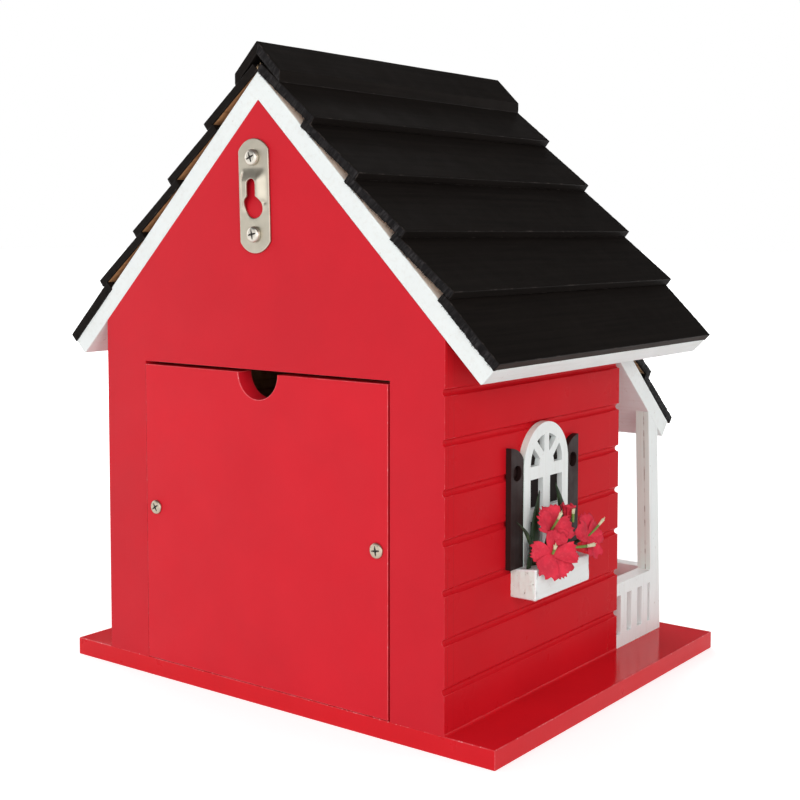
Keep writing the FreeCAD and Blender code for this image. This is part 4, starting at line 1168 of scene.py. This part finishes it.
back_red = red_paint("red_back_wall", 0.94, (0.36, 0.46), hue=COOL_RED)
door_red = red_paint("red_door", 1.02, (0.36, 0.46), hue=COOL_RED)
plies = (REAR - 2.1 * MM, REAR - 5.7 * MM)
side_red = red_paint("red_side_wall", 0.91, (0.26, 0.36), 0.03, plies)
base_red = red_paint("red_base", 1.0, (0.06, 0.11), 0.18)
# The base's sides: less glossy, and a lighter red that is painted light.
base_side_red_painted_lighter = red_paint("red_base_edge", 1.06, (0.26, 0.36), 0.14)
# Edge reds with a painted highlight, for the rounded edges of the walls, base and door.
red_edge_highlight = painted_edge_highlight_red("red_edge_painted_highlight", 0.42)
door_red_edge_highlight = painted_edge_highlight_red("door_red_painted_highlight", 0.28)
white = white_paint("white_board", ALONG_Y)
white_cross = white_paint("white_cross_board", ALONG_X)
white_post = white_paint("white_post", ALONG_Z)
# The window rims, the posts' rear faces and the flower boxes' ends take the cool white that cancels
# the red walls' pink light: painted light.
white_rim_counter_bounce = white_paint("white_rim_counter_bounce", ALONG_Z, base=COUNTER_BOUNCE_WHITE)
white_ply_counter_bounce = white_paint("white_ply_edge", ALONG_Z, glue_line=87.5 * MM, base=COUNTER_BOUNCE_WHITE)
white_end_counter_bounce = white_paint("white_end_grain", (500, 500, 500), pits=0.8, base=COUNTER_BOUNCE_WHITE)
black = black_paint("black_shingle")
black_cross = black_paint("black_porch_shingle", grain=(18, 600, 600))
# A lighter black for the lowest course's butt: painted light, as it is lit more than the shaded butts
# above.
lowest_butt_painted_light = black_paint("black_butt_painted_light", tone=4.0)
torn_end = black_end("black_torn_end")
# A grey painted highlight for the shingles' rounded corners.
shingle_edge_glint = edge_glint_black("black_edge_painted_glint")
# Whitening towards the rear ends: real overspray, and painted light in the shaded gaps under the
# shingles.
bare = raw_wood("bare_wood", overspray_and_painted_light=(80.0 * MM, 88.0 * MM))
bare_plain = raw_wood("bare_wood_plain", pale=WARM_WOOD)
bare_upright = raw_wood("bare_wood_upright", grain=(420, 420, 12))
bare_cross = raw_wood("bare_wood_cross", grain=(12, 420, 420))
nickel = metal("nickel_plate", NICKEL, 0.35, 0.45)
zinc = metal("zinc_screw", ZINC, 0.30, 0.42)
worn_zinc = metal("worn_screw", WORN_ZINC, 0.32, 0.48)
tones = ((0.3, tint(SHUTTER_BLACK, 0.8)), (0.75, tint(SHUTTER_BLACK, 1.3)))
shutter_black = flecked(
    "shutter_black", 0.2, ((700, 700, 30), 4), tones, (0.45, 0.65), 0.05, gloss=200
)
tones = ((0.3, linear(20, 15, 15)), (0.7, linear(38, 30, 29)))
card = flecked("black_card", 0.08, (1800, 4), tones, (0.5, 0.7), 0.03)
# A darker grey skin for the faces inside the screws' cross recesses.
tones = ((0.35, linear(52, 48, 46)), (0.7, linear(126, 121, 115)))
darker_recess_skin = flecked("screw_recess", 0.5, (2400, 3), tones, (0.8, 0.5), 0.03, metallic=0.4)
stem_green = stamen_skin("stem_green", STEM)
cream = stamen_skin("stamen_cream", CREAM)
patches = (230, (0.3, tint(PETAL, 0.72)), (0.7, tint(PETAL, 1.06)))
vein = (0.35, linear(240, 96, 112))
silk = veined("petal", 0.25, (900, 3), patches, vein, (0.55, 0.75), 0.08)
patches = (160, (0.3, tint(LEAF, 0.4)), (0.7, LEAF))
vein = (0.4, linear(92, 118, 72))
green = veined("leaf", 0.22, ((900, 900, 60), 4), patches, vein, (0.36, 0.55), 0.05)


def looking(axis, sign):
    """Names material 1 for the faces that look along an axis."""
    return lambda normal, centre: normal[axis] * sign > 0.9


def pick_base(normal, centre):
    """The sawn sides of the base took the paint less glossily than its top, and their red is painted
    lighter too: painted light for the light they catch.
    """
    return abs(normal.z) < 0.5


def pick_back_wall(normal, centre):
    """Bare inside, and the side walls' glossier paint on the outer edges."""
    if normal.y < -0.9:
        return 1
    return 2 if abs(centre.x) > WALL - 5 * MM and abs(normal.y) < 0.5 else 0


def door_ease(edge):
    """The door's outline is barely sanded, its finger notch more and its screw holes not at all."""
    outline = [(axis, corner[axis]) for axis in (0, 2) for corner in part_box("clean_out_door")]
    if any(on_plane(edge, *plane) for plane in outline):
        return 0.2 * MM
    near_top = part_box("clean_out_door")[1].z - edge.verts[0].co.z < 20 * MM
    return 0.32 * MM if near_top else 0.0


def make_walls():
    """The walls and the base. Where they meet flush, paint has filled the joint."""
    joints, foot = [(1, INNER_REAR, FLUSH), (1, INNER_FRONT, FLUSH)], (2, DECK, 0.0)
    wall_ease, side_ease = easing(0.32 * MM, foot, *joints), easing(0.26 * MM, *joints, foot)
    base_ease = easing(0.26 * MM, (2, DECK, 0.30 * MM))
    materials = [back_red, bare_upright, side_red, red_edge_highlight]
    # The last material of these boards puts a painted highlight on their rounded edges.
    eased_board("back_wall", materials, wall_ease, pick_back_wall, highlit_edges=True)
    materials = [side_red, bare_upright, red_edge_highlight]
    eased_board("front_wall", materials, wall_ease, looking(1, 1), highlit_edges=True)
    for name, side in SIDES:
        eased_board(f"side_wall_{name}", [side_red, bare], side_ease, looking(0, -side))
    eased_board("base", [base_red, base_side_red_painted_lighter, red_edge_highlight], base_ease, pick_base, highlit_edges=True)
    materials = [door_red, bare_upright, door_red_edge_highlight]
    eased_board("clean_out_door", materials, door_ease, looking(1, -1), highlit_edges=True)
    for name, side in SIDES:
        eased_board(f"door_cleat_{name}", [bare_upright], easing(0.3 * MM))
    make_paint_fillets(base_red)


def roof_ease(edge):
    """Roof edges are sanded, most at the eave, but the mitre between the boards is tight."""
    if on_plane(edge, 0, 0.0):
        return 0.0
    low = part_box("roof_board_left")[0]
    at_eave = any(on_plane(edge, *plane) for plane in ((2, low.z), (0, low.x), (0, -low.x)))
    return 0.9 * MM if at_eave else 0.4 * MM


def make_roof():
    """The left slope's shingles are torn at their ends, the right slope's cut clean."""
    for name, side in SIDES:
        def on_top(normal, centre, side=side):
            return normal.x * side > 0.5 and normal.z > 0.5
        left = side < 0
        wood, end, torn = (bare, torn_end, 1.0) if left else (bare_plain, black, 0.25)
        eased_board(f"roof_board_{name}", [white, wood], roof_ease, on_top)
        for course in range(1, 6):
            lowest = course == 1
            # The lowest course's butt takes the lighter black, a painted light.
            materials = [black, wood, end, shingle_edge_glint, lowest_butt_painted_light if lowest else black]
            seed = course if left else course + 10
            sag = 0.25 * MM if left else 0.8 * MM if lowest else 0.0
            rough_board(f"shingle_{name}_{course}", side, 0, materials, seed, torn, sag)
        materials = [black, black, end, shingle_edge_glint, black]
        rough_board(f"ridge_cap_{name}", side, 0, materials, 20 + side, 0.4 * torn)
    make_apex_splinters(bare_upright)


def make_porch():
    rail_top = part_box("porch_front_rail_left")[1].z

    def over_rail(normal, centre):
        return normal.y > 0.9 and centre.z > rail_top

    def on_top(normal, centre):
        return normal.z > 0.5 and normal.y < -0.3

    def white_board(node, ease, *materials, pick=None):
        eased_board(node, materials, easing(ease * MM), pick)

    white_board("porch_roof_board", 0.35, white_cross, bare_cross, pick=on_top)
    materials = [black_cross, bare_cross, torn_end, shingle_edge_glint, black_cross]
    for course in (1, 2):
        rough_board(f"porch_shingle_{course}", -1, 1, materials, 30 + course, overhang=0.0)
    for name, side in SIDES:
        # The posts' rear faces above the rail take the cool white against the red walls' pink light, a
        # painted light.
        white_board(f"porch_side_panel_{name}", 0.25, white_post, white_ply_counter_bounce, pick=over_rail)
        white_board(f"porch_front_rail_{name}", 0.25, white_post)
    white_board("entry_ring", 0.5, white_cross)
    white_board("front_door", 0.25, white_post)


def make_windows():
    for name, side in SIDES:
        node = f"window_frame_{name}"
        low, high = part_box(node)
        middle, reach = (low.y + high.y) / 2, (high.y - low.y) / 2

        def on_rim(normal, centre, middle=middle, reach=reach, spring=high.z - reach):
            out = hypot(centre.y - middle, max(centre.z - spring, 0))
            return abs(normal.x) < 0.5 and out > reach - 0.3 * MM

        # The frame's rims take the cool white against the red walls' pink light, a painted light.
        eased_board(node, [white_post, white_rim_counter_bounce], easing(0.35 * MM), on_rim)
        for place in ("rear", "front"):
            shutter = f"shutter_{name}_{place}"
            eased_board(shutter, [shutter_black], easing(0.3 * MM))
        # The box's ends take the cool white against the red walls' pink light, a painted light.
        make_flower_box(name, side, [white, white_end_counter_bounce])
        make_flowers(name, side, [silk, stem_green, cream, green])
        make_leaves(name, side, green)
        dress(frame["nodes"][f"window_backing_{name}"].data, [card])
    # Painted shade: black discs behind the shutters' holes.
    make_hole_shade_discs(shutter_black)


def make_hardware():
    make_hanger([nickel])
    make_hanger_screws([zinc, darker_recess_skin])
    door_screw("door_screw_left", 82, [worn_zinc, darker_recess_skin])
    door_screw("door_screw_right", 58, [worn_zinc, darker_recess_skin])
    dress(frame["nodes"]["door_knob"].data, [zinc])


# --- camera, light and floor

PLAIN_LIGHT = 0.5
ROOM_IN_GLOSS = 0.12
AIM = Vector((0, 0, 0.12))


def make_camera():
    camera = placed("camera", bpy.data.cameras.new("camera"))
    heading, pitch, roll = 0.64811, -0.0642, 0.00034
    look = Vector((sin(heading) * cos(pitch), -cos(heading) * cos(pitch), sin(pitch)))
    turn = look.to_track_quat("-Z", "Y").to_matrix() @ Matrix.Rotation(roll, 3, "Z")
    camera.matrix_world = turn.to_4x4()
    camera.location = (-0.36883, 0.48529, 0.19017)
    camera.data.sensor_width = 36
    camera.data.lens = 61.24
    camera.data.shift_y = -0.1
    camera.data.clip_start = 0.01
    bpy.context.scene.camera = camera


def softbox(name, place, width, height, power, colour=(1, 1, 1)):
    light = bpy.data.lights.new(name, "AREA")
    light.shape = "RECTANGLE"
    light.size, light.size_y = width, height
    light.energy = power
    light.color = colour
    lamp = placed(name, light)
    lamp.location = place
    lamp.rotation_euler = (AIM - Vector(place)).to_track_quat("-Z", "Y").to_euler()


def make_world():
    """A plain studio: even light from all round, white to the camera. A gloss shows a white sweep
    along the horizon that fades into a dimmer room higher up."""
    world = bpy.data.worlds.new("studio")
    tree = Nodes(world)
    direction = tree.node("ShaderNodeTexCoord").outputs["Generated"]
    height = tree.node("ShaderNodeSeparateXYZ", Vector=direction).outputs["Z"]
    fade = {"From_Min": 0.18, "From_Max": 0.23, "To_Min": 1.0, "To_Max": ROOM_IN_GLOSS}
    sweep = tree.node("ShaderNodeMapRange", Value=height, **fade).outputs["Result"]
    in_gloss = tree.seen_by("Is Glossy Ray", "Is Transmission Ray")
    light = tree.node("ShaderNodeMix", Factor=in_gloss, A=PLAIN_LIGHT, B=sweep).outputs["Result"]
    seen = tree.seen_by("Is Camera Ray")
    strength = tree.node("ShaderNodeMix", Factor=seen, A=light, B=1.0).outputs["Result"]
    background = tree.nodes["Background"].inputs
    tree.feed(background["Color"], (1, 1, 1, 1))
    tree.feed(background["Strength"], strength)
    bpy.context.scene.world = world


def make_floor():
    """A pale floor that shows white where no shadow falls on it."""
    mesh = bpy.data.meshes.new("floor")
    corners = [(x * 12.0, y * 12.0, 0) for x, y in ((-1, -1), (1, -1), (1, 1), (-1, 1))]
    mesh.from_pydata(corners, [], [(0, 1, 2, 3)])
    paint = Paint("floor", 0.0, Roughness=0.9, Emission_Color=(1, 1, 1, 1))
    paint.colour((0.78, 0.78, 0.78, 1))
    distance = paint.node("ShaderNodeVectorMath", Vector=paint.place)
    distance.operation = "LENGTH"
    glow = paint.ramp(distance.outputs["Value"], (0.25, 0.54), (0.9, 1.0))
    seen = paint.seen_by("Is Camera Ray", "Is Glossy Ray", "Is Transmission Ray")
    paint.feed(paint.shader.inputs["Emission Strength"], paint.math("MULTIPLY", seen, glow))
    dress(mesh, [paint.material])
    placed("floor", mesh)


make_camera()
make_walls()
make_roof()
make_porch()
make_windows()
make_hardware()
make_floor()
make_world()
bpy.context.scene.view_settings.view_transform = "Standard"
softbox("rear_light", (-0.3, 1.5, 0.7), 1.2, 0.9, 7.5)
softbox("left_light", (-1.35, 0.75, 0.5), 1.2, 0.9, 8.3, (1.0, 0.985, 0.965))
softbox("front_light", (1.1, -1.15, 0.95), 1.2, 0.7, 9)
softbox("right_light", (1.5, 0.1, 0.6), 1.2, 0.9, 8)
